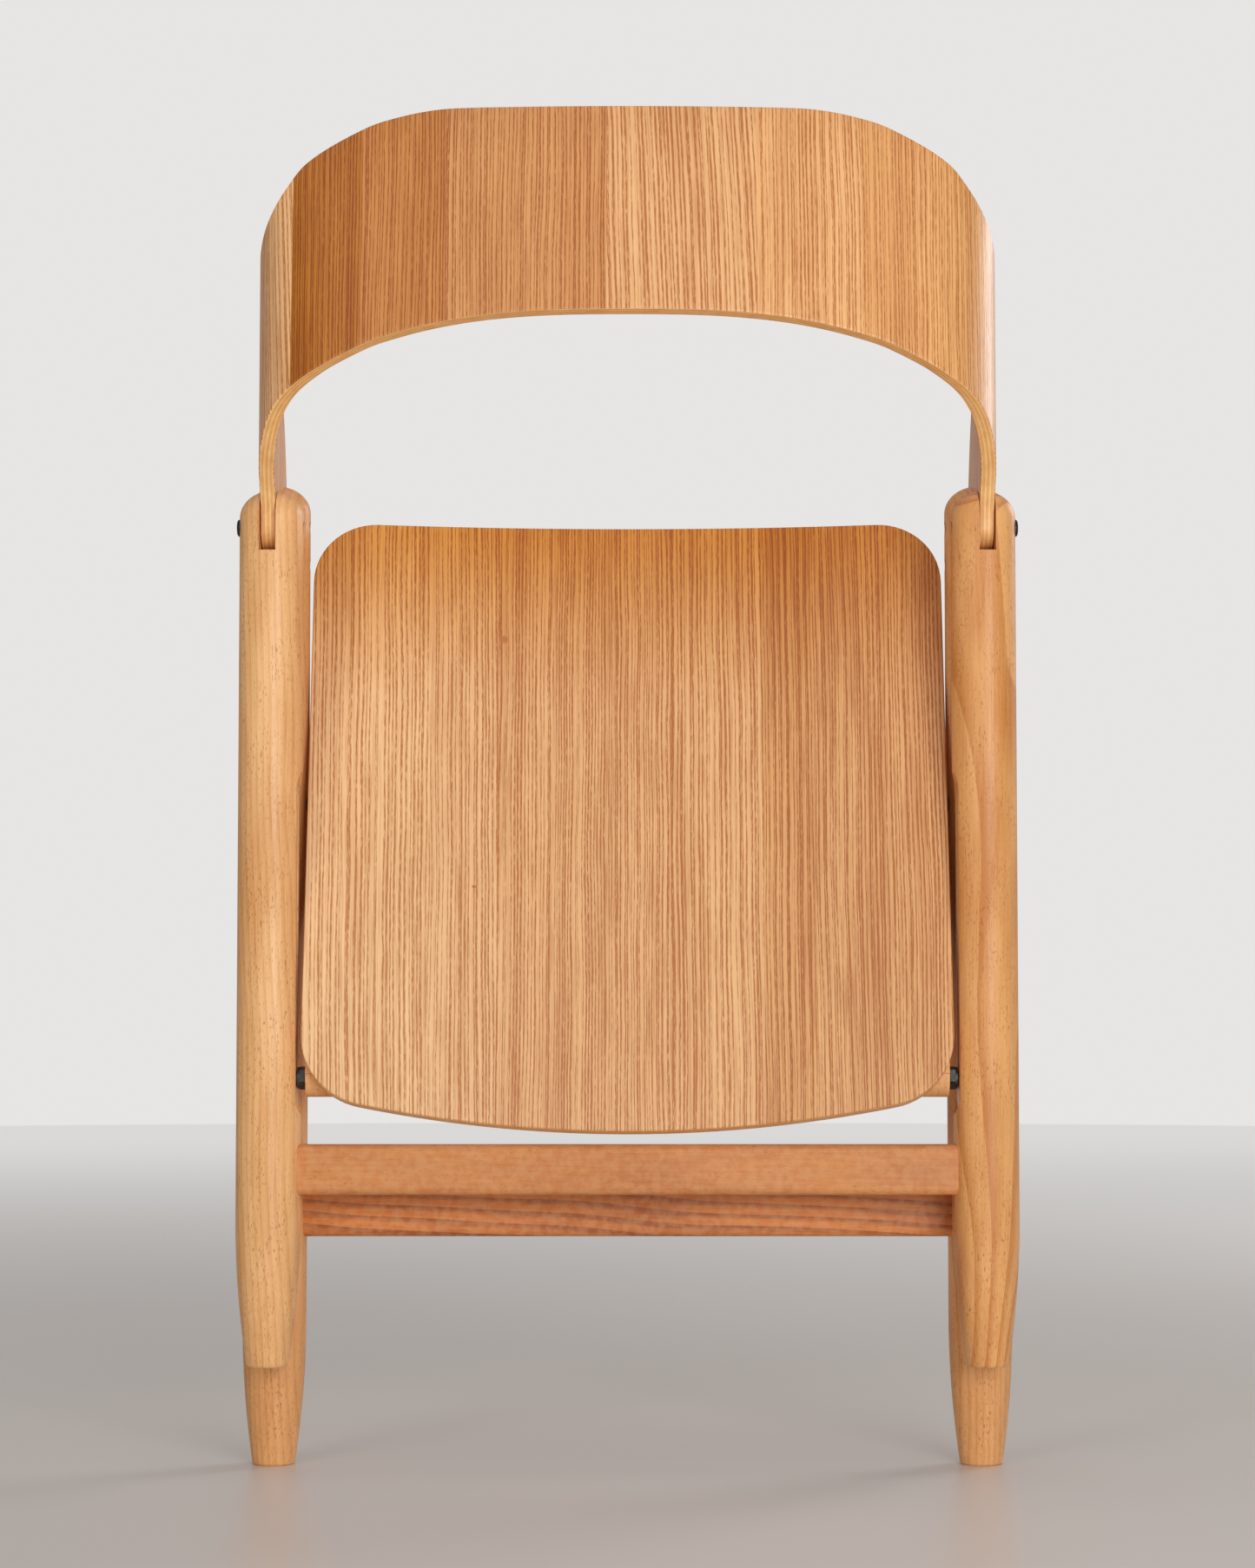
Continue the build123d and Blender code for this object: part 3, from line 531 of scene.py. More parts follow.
# %% Hardware materials
def hardware_material(name, base, worn_colour, metallic, rough, scratch=0.0006):
    """Metal or plastic with a wandering tint, fine scratches and worn corners."""
    material, tree, surface = new_material(name)
    place = put(tree, "ShaderNodeTexCoord").outputs["Object"]
    x, y, z = put(tree, "ShaderNodeSeparateXYZ", {"Vector": place}).outputs
    cloud = noise(tree, stretched(tree, x, y, z, (0.004, 0.004, 0.004)), detail=3)
    lines = noise(tree, stretched(tree, x, y, z, (scratch, 6 * scratch, scratch)), detail=2)
    wear = use_group(tree, wear_group, {})["Mask"]
    tinted = blend(tree, remap(tree, cloud, 0.3, 0.7, 0.0, 0.35), base, worn_colour)
    tree.links.new(blend(tree, wear, tinted, worn_colour), surface.inputs["Base Color"])
    roughness = calc(tree, "MULTIPLY_ADD", lines, 0.18, remap(tree, cloud, 0.3, 0.7, rough - 0.1, rough))
    tree.links.new(roughness, surface.inputs["Roughness"])
    bump(tree, surface, lines, 0.00003, 0.6)
    surface.inputs["Metallic"].default_value = metallic
    return material


black_steel = hardware_material("black_steel_worn", colour(30, 29, 29), colour(92, 90, 88), 0.85, 0.42)
zinc_steel = hardware_material("zinc_steel_worn", colour(176, 176, 172), colour(214, 212, 206), 1.0, 0.38)
bush_nylon = hardware_material("bush_nylon_worn", colour(28, 28, 30), colour(58, 58, 60), 0.0, 0.5)
print("hardware materials", black_steel.name, zinc_steel.name, bush_nylon.name)

# %% Give the fixed nodes their materials
def finish_node(node, material):
    """Put a material on a fixed node."""
    mesh = frame["nodes"][node].data
    mesh.materials.clear()
    mesh.materials.append(material)


node_slots = {part["node"]: part["material_slot"] for part in frame["record"]["subparts"]}
plain = {"black_steel": black_steel, "zinc_steel": zinc_steel, "bush_nylon": bush_nylon}
for node, slot in node_slots.items():
    if slot in plain:
        finish_node(node, plain[slot])
raw_beech = beech_material("beech_raw", "X", Figure=0.2)
for node in ("rear_stretcher_dowels", "front_stretcher_dowels"):
    finish_node(node, raw_beech)
rear_rail = beech_material(
    "beech_rear_rail", "X", middle_of("rear_stretcher"), Seed=4.0, Figure=0.12, Pith=0.12,
    Light=colour(214, 134, 66), Dark=colour(172, 92, 38),
)
front_rail = beech_material(
    "beech_front_rail", "X", middle_of("front_stretcher"), Seed=7.0, Figure=0.75, Pith=0.035, Lean=0.06,
    Rings=0.008, Light=colour(222, 126, 40), Dark=colour(146, 62, 10),
)
finish_node("rear_stretcher", rear_rail)
finish_node("front_stretcher", front_rail)
cleat_beech = beech_material("beech_cleat", "Z", Seed=2.0, Figure=0.25)
leg_looks = {
    # The near left leg's Light and Dark colours are paler than the other legs': a painted highlight, its beech
    # made lighter where the light falls on it.
    "rear_leg_left": {"Seed": 11.0, "Pith": 0.10, "Figure": 0.3, "Light": colour(250, 198, 138),
                      "Dark": colour(214, 146, 82)},
    "rear_leg_right": {"Seed": 12.0, "Pith": -0.012, "Figure": 0.55, "Rings": 0.006,
                       "Light": colour(242, 182, 116), "Dark": colour(202, 128, 62)},
    "front_leg_left": {"Seed": 13.0, "Pith": 0.08, "Figure": 0.3},
    "front_leg_right": {"Seed": 14.0, "Pith": -0.09, "Figure": 0.3},
}
leg_materials = {}
for node, look in leg_looks.items():
    leg_materials[node] = beech_material("beech_" + node, "Z", middle_of(node), **look)
    finish_node(node, leg_materials[node])
for node in ("seat_cleat_left", "seat_cleat_right"):
    finish_node(node, cleat_beech)
print("finished nodes", len(node_slots))

# %% [markdown]
# ## Panels cut flat, then bent
# Moulded ply starts as flat leaves in a press. The two panels are made the same way here: an outline
# on the flat, thickened and eased along its rims, sliced so that it can bend, and then bent by a
# formula. The flat place of each point is kept as an attribute, so the grain bends with the ply.

# %% Panel helpers
def smooth_line(points, start=None, end=None, steps=8):
    """Curve through points, with chosen directions at its ends."""
    points = [np.array(p, float) for p in points]
    last = len(points) - 1
    slopes = []
    for i, point in enumerate(points):
        before, after = points[max(i - 1, 0)], points[min(i + 1, last)]
        slopes.append((after - before) / max(np.linalg.norm(after - before), 1e-9))
    slopes[0] = slopes[0] if start is None else np.array(start, float)
    slopes[-1] = slopes[-1] if end is None else np.array(end, float)
    line = []
    for a, b, slope_a, slope_b in zip(points, points[1:], slopes, slopes[1:]):
        span = np.linalg.norm(b - a)
        for t in np.linspace(0, 1, steps, endpoint=False):
            line.append((2 * t**3 - 3 * t**2 + 1) * a + (t**3 - 2 * t**2 + t) * span * slope_a
                        + (3 * t**2 - 2 * t**3) * b + (t**3 - t**2) * span * slope_b)
    return line + [points[-1]]


def round_bend(centre, radius, start, end, steps=12):
    """Points on an arc, angles in degrees."""
    angles = np.radians(np.linspace(start, end, steps))
    return [np.array((centre[0] + radius * cos(a), centre[1] + radius * sin(a))) for a in angles]


RIM_ANGLES = (0, 30, 60, 90)


def inset(outline, distance):
    """Move an anticlockwise outline inwards, mitred at its corners."""
    points = np.array(outline)
    ahead = np.roll(points, -1, axis=0) - points
    ahead /= np.linalg.norm(ahead, axis=1)[:, None]
    inward = np.stack([-ahead[:, 1], ahead[:, 0]], axis=1)
    behind = np.roll(inward, 1, axis=0)
    mitre = (inward + behind) / (1 + np.sum(inward * behind, axis=1))[:, None]
    return points + distance * mitre


def show(name, data):
    """Put a mesh into the scene as an object at the origin."""
    piece = bpy.data.objects.new(name, data)
    bpy.context.scene.collection.objects.link(piece)
    return piece


def cut_panel(name, outline, ply, ease, slices_x, slices_y, bend):
    """Thicken an outline, ease its rims, slice it and bend it; keeps the flat places as attributes."""
    steps = [(ease * (1 - sin(a)), ease * (1 - cos(a))) for a in np.radians(RIM_ANGLES)]
    steps += [(inwards, ply - depth) for inwards, depth in reversed(steps)]
    mesh = bmesh.new()
    rings = [[mesh.verts.new((x, y, depth)) for x, y in inset(outline, inwards)] for inwards, depth in steps]
    mesh.faces.new(rings[0][::-1])
    mesh.faces.new(rings[-1])
    for low, high in zip(rings, rings[1:]):
        for i in range(len(outline)):
            mesh.faces.new((low[i - 1], low[i], high[i], high[i - 1]))
    for axis, places in ((0, slices_x), (1, slices_y)):
        for place in places:
            point, normal = [0, 0, 0], [0, 0, 0]
            point[axis], normal[axis] = place, 1
            geometry = mesh.verts[:] + mesh.edges[:] + mesh.faces[:]
            bmesh.ops.bisect_plane(mesh, geom=geometry, plane_co=point, plane_no=normal, dist=1e-6)
    bmesh.ops.triangulate(mesh, faces=[f for f in mesh.faces if len(f.verts) > 4])
    bmesh.ops.recalc_face_normals(mesh, faces=mesh.faces[:])
    data = bpy.data.meshes.new(name)
    mesh.to_mesh(data)
    mesh.free()
    places = np.zeros(len(data.vertices) * 3)
    data.vertices.foreach_get("co", places)
    places = places.reshape(-1, 3)
    inside = np.minimum(places[:, 2], ply - places[:, 2]) / ease
    data.attributes.new("ply", "FLOAT_VECTOR", "POINT").data.foreach_set("vector", places.ravel())
    data.attributes.new("rim", "FLOAT", "POINT").data.foreach_set("value", np.clip(inside, 0, 1))
    bent = bend(places[:, 0], places[:, 1], places[:, 2])
    data.vertices.foreach_set("co", bent.ravel())
    data.update()
    bent_mesh = bmesh.new()
    bent_mesh.from_mesh(data)
    bmesh.ops.recalc_face_normals(bent_mesh, faces=bent_mesh.faces[:])
    bent_mesh.to_mesh(data)
    bent_mesh.free()
    piece = show(name, data)
    for polygon in data.polygons:
        polygon.use_smooth = True
    weighted = piece.modifiers.new("weighted", "WEIGHTED_NORMAL")
    weighted.weight = 80
    print(name, "faces", len(data.polygons))
    return piece


# %% [markdown]
# ## The moulded back
# The back is one band of ply. Seen from above it is a shallow arc, two tight corners and two straight
# arms. Its faces lean forward towards the top at the middle and stand upright at the arms. On the flat
# its lower edge dips towards the arms, and each arm ends in a round eye for the hinge bolt and a
# tongue that is let into the front leg.

# %% Back: sizes and outline
ARM_OUTER_X = 0.252
CORNER_RADIUS = 0.070
BACK_RADIUS = 0.750
BACK_REACH = 0.118          # outer face behind the hinge at the reference height
REACH_HEIGHT = 0.130
BACK_LEAN = radians(13.1)
ARM_END_RADIUS = 0.015
TONGUE_BOTTOM = -0.035
TONGUE_REAR, TONGUE_FRONT = 0.027, 0.067
TONGUE_CORNER = 0.006
# Lower and upper edge at plan angles round a corner.
CORNER_EDGES = {
    60: (0.0895, 0.2395), 45: (0.0795, 0.2235), 30: (0.066, 0.2075), 15: (0.0465, 0.192), 0: (0.025, 0.175),
}

corner_x = ARM_OUTER_X - CORNER_RADIUS
corner_run = sqrt((BACK_RADIUS - CORNER_RADIUS) ** 2 - corner_x ** 2)
corner_start = atan2(corner_run, corner_x)
corner_behind = BACK_REACH - BACK_RADIUS + corner_run      # corner centre behind the hinge
back_length = BACK_RADIUS * (pi / 2 - corner_start)        # along the outer face, middle to corner
arm_start = back_length + CORNER_RADIUS * corner_start
hinge_along = arm_start + corner_behind                    # the hinge bolt on the flat band


def back_low(x):
    return 0.1304 - 0.030 * (x / 0.2) ** 3


def back_high(x):
    return 0.2746 - 0.0225 * (max(x - 0.110, 0) / 0.090) ** 2


def back_outline():
    """Right half of the flat band from its middle, then mirrored."""
    shares = np.linspace(0, 1, 8, endpoint=False)
    spots = [(share * back_length, BACK_RADIUS * sin(share * back_length / BACK_RADIUS)) for share in shares]
    low = [(s, back_low(x)) for s, x in spots]
    high = [(s, back_high(x)) for s, x in spots]
    for angle, (low_edge, high_edge) in CORNER_EDGES.items():
        s = back_length + CORNER_RADIUS * (corner_start - radians(angle))
        low.append((s, low_edge))
        high.append((s, high_edge))
    low.append((hinge_along - ARM_END_RADIUS, 0.0))
    high += [(hinge_along + y, z) for y, z in ((0, 0.143), (0.030, 0.100), (0.054, 0.056), (TONGUE_FRONT, 0))]
    right = smooth_line(low, start=(1, 0), end=(0, -1))
    right += round_bend((hinge_along, 0), ARM_END_RADIUS, 180, 270)[1:]
    rear, front = hinge_along + TONGUE_REAR, hinge_along + TONGUE_FRONT
    right += [(rear, -ARM_END_RADIUS), (rear, TONGUE_BOTTOM), (front - TONGUE_CORNER, TONGUE_BOTTOM)]
    right += [(front, TONGUE_BOTTOM + TONGUE_CORNER)]
    right += smooth_line(high, start=(1, 0), end=(0, -1))[::-1]
    left = [(-s, z) for s, z in right[::-1]]
    return right + left[1:-1]


def bend_back(along, height, depth):
    """Flat band to its place: depth 0 is the outer face."""
    side = np.where(along < 0, -1.0, 1.0)
    s = np.abs(along)
    past = s - back_length
    angle = np.where(past < 0, pi / 2 - s / BACK_RADIUS, corner_start - past / CORNER_RADIUS)
    angle = np.maximum(angle, 0)
    on_back = past < 0
    x = np.where(on_back, BACK_RADIUS * np.cos(angle), corner_x + CORNER_RADIUS * np.cos(angle))
    reach = np.where(on_back, BACK_REACH - BACK_RADIUS + BACK_RADIUS * np.sin(angle),
                     corner_behind + CORNER_RADIUS * np.sin(angle))
    reach = reach - np.maximum(s - arm_start, 0)
    share = np.clip((reach - corner_behind) / (BACK_REACH - corner_behind), 0, 1)
    slope = share * tan(BACK_LEAN)
    reach = reach - slope * (height - REACH_HEIGHT)
    tilt = np.sqrt(1 + (slope * np.sin(angle)) ** 2)
    inward = np.stack([-np.cos(angle), np.sin(angle), -slope * np.sin(angle)], axis=1) / tilt[:, None]
    outer = np.stack([x, -reach, height], axis=1)
    place = outer + inward * depth[:, None]
    place[:, 0] *= side
    return place + np.array(hinge)


outline = back_outline()
print("back outline", len(outline), "points, half length", round(hinge_along + TONGUE_FRONT, 4))

# %% Back: make it
EASED_RIM = 0.0013
back_slices = [s for s in np.arange(-0.24, 0.2401, 0.012) if abs(s) < back_length]
corner_slices = np.linspace(back_length, arm_start, 26)
back_slices += list(corner_slices) + list(-corner_slices)
backrest = cut_panel(
    "backrest_moulded", outline, BACK_PLY, EASED_RIM, back_slices, [0.08, 0.15, 0.2], bend_back,
)
backrest.data.materials.append(back_material)
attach(backrest, "front_frame")
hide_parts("backrest")

# %% [markdown]
# ## The dished seat
# The seat is a flat-pressed panel, hollow from side to side so that it holds a sitter. It has a
# straight front, a gently bowed rear and rounded corners. It turns about its pivot on the front legs.

# %% Seat: sizes and outline
SEAT_FRONT = 0.203
SEAT_REAR_PAST = 0.040      # rear edge behind the rear bolt
SEAT_HALF_WIDTH = 0.222
SEAT_DISH = 0.013
SEAT_SIDE_TOP = 0.027
SEAT_FRONT_CORNER = 0.045
SEAT_REAR_CORNER = 0.048
SEAT_REAR_RADIUS = 1.0

pivot_to_hinge = hinge - seat_pivot
seat_arm = hypot(pivot_to_hinge.y, pivot_to_hinge.z)
seat_lean = atan2(-pivot_to_hinge.y, pivot_to_hinge.z)
seat_rear = -(seat_arm + SEAT_REAR_PAST)
dish_radius = (SEAT_HALF_WIDTH ** 2 + SEAT_DISH ** 2) / (2 * SEAT_DISH)


def seat_outline():
    """Right half from the middle of the rear edge, then mirrored."""
    corner_x = SEAT_HALF_WIDTH - SEAT_REAR_CORNER
    bow_centre = seat_rear + SEAT_REAR_RADIUS
    corner_y = bow_centre - sqrt((SEAT_REAR_RADIUS - SEAT_REAR_CORNER) ** 2 - corner_x ** 2)
    touch = degrees(atan2(corner_y - bow_centre, corner_x))
    front_centre = (SEAT_HALF_WIDTH - SEAT_FRONT_CORNER, SEAT_FRONT - SEAT_FRONT_CORNER)
    right = round_bend((0, bow_centre), SEAT_REAR_RADIUS, -90, touch, 16)
    right += round_bend((corner_x, corner_y), SEAT_REAR_CORNER, touch, 0, 16)[1:]
    right += round_bend(front_centre, SEAT_FRONT_CORNER, 0, 90, 16)
    left = [(-x, y) for x, y in right[::-1]]
    return right + left[:-1]


def bend_seat(across, along, depth):
    """Flat panel to its place: depth 0 is the top face."""
    centre = SEAT_SIDE_TOP - SEAT_DISH + dish_radius
    height = centre - np.sqrt((dish_radius + depth) ** 2 - across ** 2)
    y = along * sin(seat_lean) - height * cos(seat_lean)
    z = along * cos(seat_lean) + height * sin(seat_lean)
    return np.stack([across, y, z], axis=1) + np.array(seat_pivot)


seat_slices = np.arange(-0.21, 0.2101, 0.014)
seat = cut_panel(
    "seat_dished", seat_outline(), SEAT_PLY, EASED_RIM, seat_slices, np.arange(-0.2, 0.2, 0.05), bend_seat,
)
seat.data.materials.append(seat_material)
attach(seat, "seat")
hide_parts("seat_panel")

# %% [markdown]
# ## Turned legs, grown from a rule
# On a lathe a leg is one curve swept round an axis: a low dome, a straight run, and a foot that narrows
# along a slight arc. A geometry tree does the same. It lines up points on the axis, gives each one a
# radius from its height, and sweeps a circle through them. The rows crowd together towards both ends,
# where the curve is tightest. Last, it cuts away a solid that holds the leg's slots and spot faces.

# %% Geometry tree helpers
def new_growth(name, inputs):
    """An empty geometry tree with named inputs: the tree, its inputs and its output node."""
    tree = bpy.data.node_groups.new(name, "GeometryNodeTree")
    tree.interface.new_socket("Geometry", in_out="INPUT", socket_type="NodeSocketGeometry")
    for socket, kind in inputs.items():
        tree.interface.new_socket(socket, in_out="INPUT", socket_type="NodeSocket" + kind)
    tree.interface.new_socket("Geometry", in_out="OUTPUT", socket_type="NodeSocketGeometry")
    return tree, tree.nodes.new("NodeGroupInput").outputs, tree.nodes.new("NodeGroupOutput")


def grow(name, tree, values, points=()):
    """Run a geometry tree on a few points and keep what it makes as a plain piece."""
    seed = bpy.data.meshes.new(name + "_points")
    seed.from_pydata([tuple(point) for point in points], [], [])
    piece = show(name, seed)
    modifier = piece.modifiers.new("growth", "NODES")
    modifier.node_group = tree
    for item in tree.interface.items_tree:
        if item.in_out == "INPUT" and item.name in values:
            modifier[item.identifier] = values[item.name]
    grown = bpy.data.meshes.new_from_object(piece.evaluated_get(bpy.context.evaluated_depsgraph_get()))
    piece.modifiers.remove(modifier)
    piece.data = grown
    print(name, "faces", len(grown.polygons))
    return piece


# %% Turned leg tree
TIP_RADIUS = 0.0002         # the dome's tip is a tiny flat, so that the mesh can close
SHARP_ANGLE = radians(32)


def make_leg_tree():
    """Heights are above the hinge; Origin is where the leg's axis passes the hinge's height."""
    tree, given, end = new_growth("turned_leg", {
        "Origin": "Vector", "Top": "Float", "Foot": "Float", "Radius": "Float", "Foot Radius": "Float",
        "Taper": "Float", "Dome": "Float", "Foot Edge": "Float", "Rows": "Int", "Segments": "Int",
        "Cutter": "Object", "Finish": "Material",
    })
    line = put(tree, "GeometryNodeCurvePrimitiveLine", {"End": (0, 0, 1)}).outputs[0]
    rows = put(tree, "GeometryNodeResampleCurve", {"Curve": line, "Count": given["Rows"]}).outputs[0]
    step = put(tree, "GeometryNodeInputIndex").outputs[0]
    share = calc(tree, "DIVIDE", step, calc(tree, "SUBTRACT", given["Rows"], 1))
    crowded = calc(tree, "MULTIPLY_ADD", calc(tree, "COSINE", calc(tree, "MULTIPLY", share, pi)), -0.5, 0.5)
    length = calc(tree, "SUBTRACT", given["Top"], given["Foot"])
    height = calc(tree, "MULTIPLY_ADD", crowded, length, given["Foot"])
    spot = put(tree, "ShaderNodeCombineXYZ", {"Z": height}).outputs[0]
    axis = put(tree, "GeometryNodeSetPosition", {"Geometry": rows, "Position": spot}).outputs[0]

    point = put(tree, "GeometryNodeInputPosition").outputs[0]
    z = put(tree, "ShaderNodeSeparateXYZ", {"Vector": point}).outputs["Z"]
    above = calc(tree, "SUBTRACT", z, calc(tree, "SUBTRACT", given["Top"], given["Dome"]))
    rise = calc(tree, "MINIMUM", calc(tree, "MAXIMUM", calc(tree, "DIVIDE", above, given["Dome"]), 0), 1)
    dome = calc(tree, "SQRT", calc(tree, "SUBTRACT", 1, calc(tree, "MULTIPLY", rise, rise)))
    dome = calc(tree, "MULTIPLY", dome, given["Radius"])
    run = calc(tree, "SUBTRACT", given["Taper"], given["Foot Edge"])
    loss = calc(tree, "SUBTRACT", given["Radius"], given["Foot Radius"])
    squares = calc(tree, "MULTIPLY_ADD", loss, loss, calc(tree, "MULTIPLY", run, run))
    sweep = calc(tree, "DIVIDE", squares, calc(tree, "MULTIPLY", loss, 2))
    narrowing = calc(tree, "ADD", given["Foot"], given["Taper"])
    below = calc(tree, "MAXIMUM", calc(tree, "SUBTRACT", narrowing, z), 0)
    chord = calc(tree, "SQRT", calc(tree, "SUBTRACT", calc(tree, "MULTIPLY", sweep, sweep),
                                    calc(tree, "MULTIPLY", below, below)))
    flank = calc(tree, "ADD", calc(tree, "SUBTRACT", given["Radius"], sweep), chord)
    corner = calc(tree, "ADD", calc(tree, "SUBTRACT", given["Foot Radius"], given["Foot Edge"]),
                  calc(tree, "SUBTRACT", z, given["Foot"]))
    radius = calc(tree, "MINIMUM", calc(tree, "MINIMUM", dome, flank), corner)
    radius = calc(tree, "MAXIMUM", radius, TIP_RADIUS)

    circle = put(tree, "GeometryNodeCurvePrimitiveCircle", {"Resolution": given["Segments"], "Radius": 1.0})
    turned = put(tree, "GeometryNodeCurveToMesh", {
        "Curve": axis, "Profile Curve": circle.outputs[0], "Scale": radius, "Fill Caps": True,
    }).outputs[0]
    moved = {"Geometry": turned, "Translation": given["Origin"]}
    placed = put(tree, "GeometryNodeTransform", moved).outputs[0]
    cutter = put(tree, "GeometryNodeObjectInfo", {"Object": given["Cutter"]}).outputs["Geometry"]
    meshes = {"Mesh 1": placed, "Mesh 2": cutter, "Self Intersection": True}
    cut = put(tree, "GeometryNodeMeshBoolean", meshes, operation="DIFFERENCE", solver="EXACT").outputs[0]
    corner_angle = put(tree, "GeometryNodeInputMeshEdgeAngle").outputs["Unsigned Angle"]
    sharp = calc(tree, "GREATER_THAN", corner_angle, SHARP_ANGLE)
    smooth = put(tree, "GeometryNodeSetShadeSmooth", {"Geometry": cut}).outputs[0]
    creases = {"Geometry": smooth, "Selection": sharp, "Shade Smooth": False}
    edged = put(tree, "GeometryNodeSetShadeSmooth", creases, domain="EDGE").outputs[0]
    whole = put(tree, "GeometryNodeRealizeInstances", {"Geometry": edged}).outputs[0]
    done = put(tree, "GeometryNodeSetMaterial", {"Geometry": whole, "Material": given["Finish"]}).outputs[0]
    tree.links.new(done, end.inputs["Geometry"])
    return tree


leg_tree = make_leg_tree()
print("leg tree", len(leg_tree.nodes), "nodes")

# %% [markdown]
# Every cut in a leg runs along X, so each is a prism: an outline seen from the side, between two places.
# The rear leg has the hinge slot, a long round-ended recess and, in its floor, the slot that the seat's
# bolt slides in. The front leg has the slot that the back's tongue is let into.

# %% Cutters
LEG_X = 0.2455
LEG_RADIUS = 0.0222
LEG_SPACING = 0.048
BOLT_RADIUS = 0.004
SLEEVE_RADIUS = 0.005
SLEEVE_START_X = 0.237
SPOT_RADIUS = 0.0064
SPOT_X = LEG_X + 0.0213
SPACER_SPOT_RADIUS = 0.00845
SPACER_SPOT_X = LEG_X - 0.0206
OUTSIDE_X = 0.275
INSIDE_X = 0.200
BEYOND = 0.06               # cutters reach this far past the leg
HINGE_SLOT = (0.2410, 0.2525, -0.0175)
TONGUE_SLOT = (0.2415, 0.2520, -0.035)
RECESS = {"half": 0.0115, "low": -0.4032, "high": -0.1686, "floor": LEG_X - 0.01905}
SLIDE_SLOT = {"half": 0.0054, "depth": 0.012, "spare": 0.0062}
FOLD_ANGLE = radians(48)


def rounded_run(half, low, high, steps=24):
    """Upright slot outline with round ends, as points on Y and Z."""
    top, bottom = np.linspace(0, pi, steps), np.linspace(pi, 2 * pi, steps)
    upper = [(half * cos(a), high - half + half * sin(a)) for a in top]
    lower = [(half * cos(a), low + half + half * sin(a)) for a in bottom]
    return upper + lower


def hole(radius, z, steps=48):
    """Round outline on the leg's axis."""
    angles = np.linspace(0, 2 * pi, steps, endpoint=False)
    return [(radius * cos(a), z + radius * sin(a)) for a in angles]


def slot_cut(slot):
    """Slot open at the leg's top and on both sides."""
    low_x, high_x, bottom = slot
    return [(-BEYOND, bottom), (BEYOND, bottom), (BEYOND, BEYOND), (-BEYOND, BEYOND)], low_x, high_x


def bolt_cuts(z):
    """Spot face for the head, hole for the bolt and wider hole for its sleeve."""
    return [(hole(SPOT_RADIUS, z), SPOT_X, OUTSIDE_X), (hole(BOLT_RADIUS, z), INSIDE_X, OUTSIDE_X),
            (hole(SLEEVE_RADIUS, z), INSIDE_X, SLEEVE_START_X)]


def slide_height(angle):
    """Height of the sliding bolt on the rear leg's line."""
    return -2 * seat_arm * cos(seat_lean + angle)


def cutter_solid(name, cuts, axis_y, side):
    """All the prisms of one leg as a hidden object, on the side where x has the given sign."""
    mesh = bmesh.new()
    for outline, start, stop in cuts:
        ends = []
        for x in (start, stop):
            ends.append([mesh.verts.new((side * x, axis_y + y, hinge.z + z)) for y, z in outline])
        mesh.faces.new(ends[0])
        mesh.faces.new(ends[1])
        for i in range(len(outline)):
            mesh.faces.new((ends[0][i - 1], ends[0][i], ends[1][i], ends[1][i - 1]))
    bmesh.ops.recalc_face_normals(mesh, faces=mesh.faces[:])
    data = bpy.data.meshes.new(name)
    mesh.to_mesh(data)
    mesh.free()
    return bpy.data.objects.new(name, data)


slide_cut = rounded_run(
    SLIDE_SLOT["half"], slide_height(0) - SLIDE_SLOT["spare"], slide_height(FOLD_ANGLE) + SLIDE_SLOT["spare"],
)
rear_cuts = [slot_cut(HINGE_SLOT), *bolt_cuts(0),
             (rounded_run(RECESS["half"], RECESS["low"], RECESS["high"]), INSIDE_X, RECESS["floor"]),
             (slide_cut, INSIDE_X, RECESS["floor"] + SLIDE_SLOT["depth"])]
pivot_drop = seat_pivot.z - hinge.z
front_cuts = [slot_cut(TONGUE_SLOT), *bolt_cuts(-0.020), *bolt_cuts(0.006),
              (hole(SPOT_RADIUS, pivot_drop), SPOT_X, OUTSIDE_X),
              (hole(BOLT_RADIUS, pivot_drop), INSIDE_X, OUTSIDE_X),
              (hole(SPACER_SPOT_RADIUS, pivot_drop), INSIDE_X, SPACER_SPOT_X)]
print("cuts", len(rear_cuts), "in a rear leg,", len(front_cuts), "in a front leg")

# %% Grow the four legs
leg_shapes = {
    "rear": {"Top": 0.0257, "Foot": -0.5744, "Foot Radius": 0.0142},
    "front": {"Top": 0.0355, "Foot": -hinge.z, "Foot Radius": 0.0148},
}
leg_plans = {"rear": (rear_cuts, hinge.y), "front": (front_cuts, hinge.y + LEG_SPACING)}
for node, finish in leg_materials.items():
    place, _, side_name = node.split("_")
    side = 1 if side_name == "right" else -1
    cuts, axis_y = leg_plans[place]
    leg = grow(node + "_turned", leg_tree, {
        **leg_shapes[place], "Origin": (side * LEG_X, axis_y, hinge.z), "Radius": LEG_RADIUS,
        "Taper": 0.102, "Dome": 0.019, "Foot Edge": 0.0012, "Rows": 150, "Segments": 96,
        "Cutter": cutter_solid(node + "_cuts", cuts, axis_y, side), "Finish": finish,
    })
    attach(leg, place + "_frame")
    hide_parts(node)

# %% [markdown]
# ## Screws, grown from points
# Four countersunk screws come up through each cleat. The tree makes one screw with a cross cut in its
# head, stands a copy on every point, and turns each by its own chance angle, as a hand would leave them.

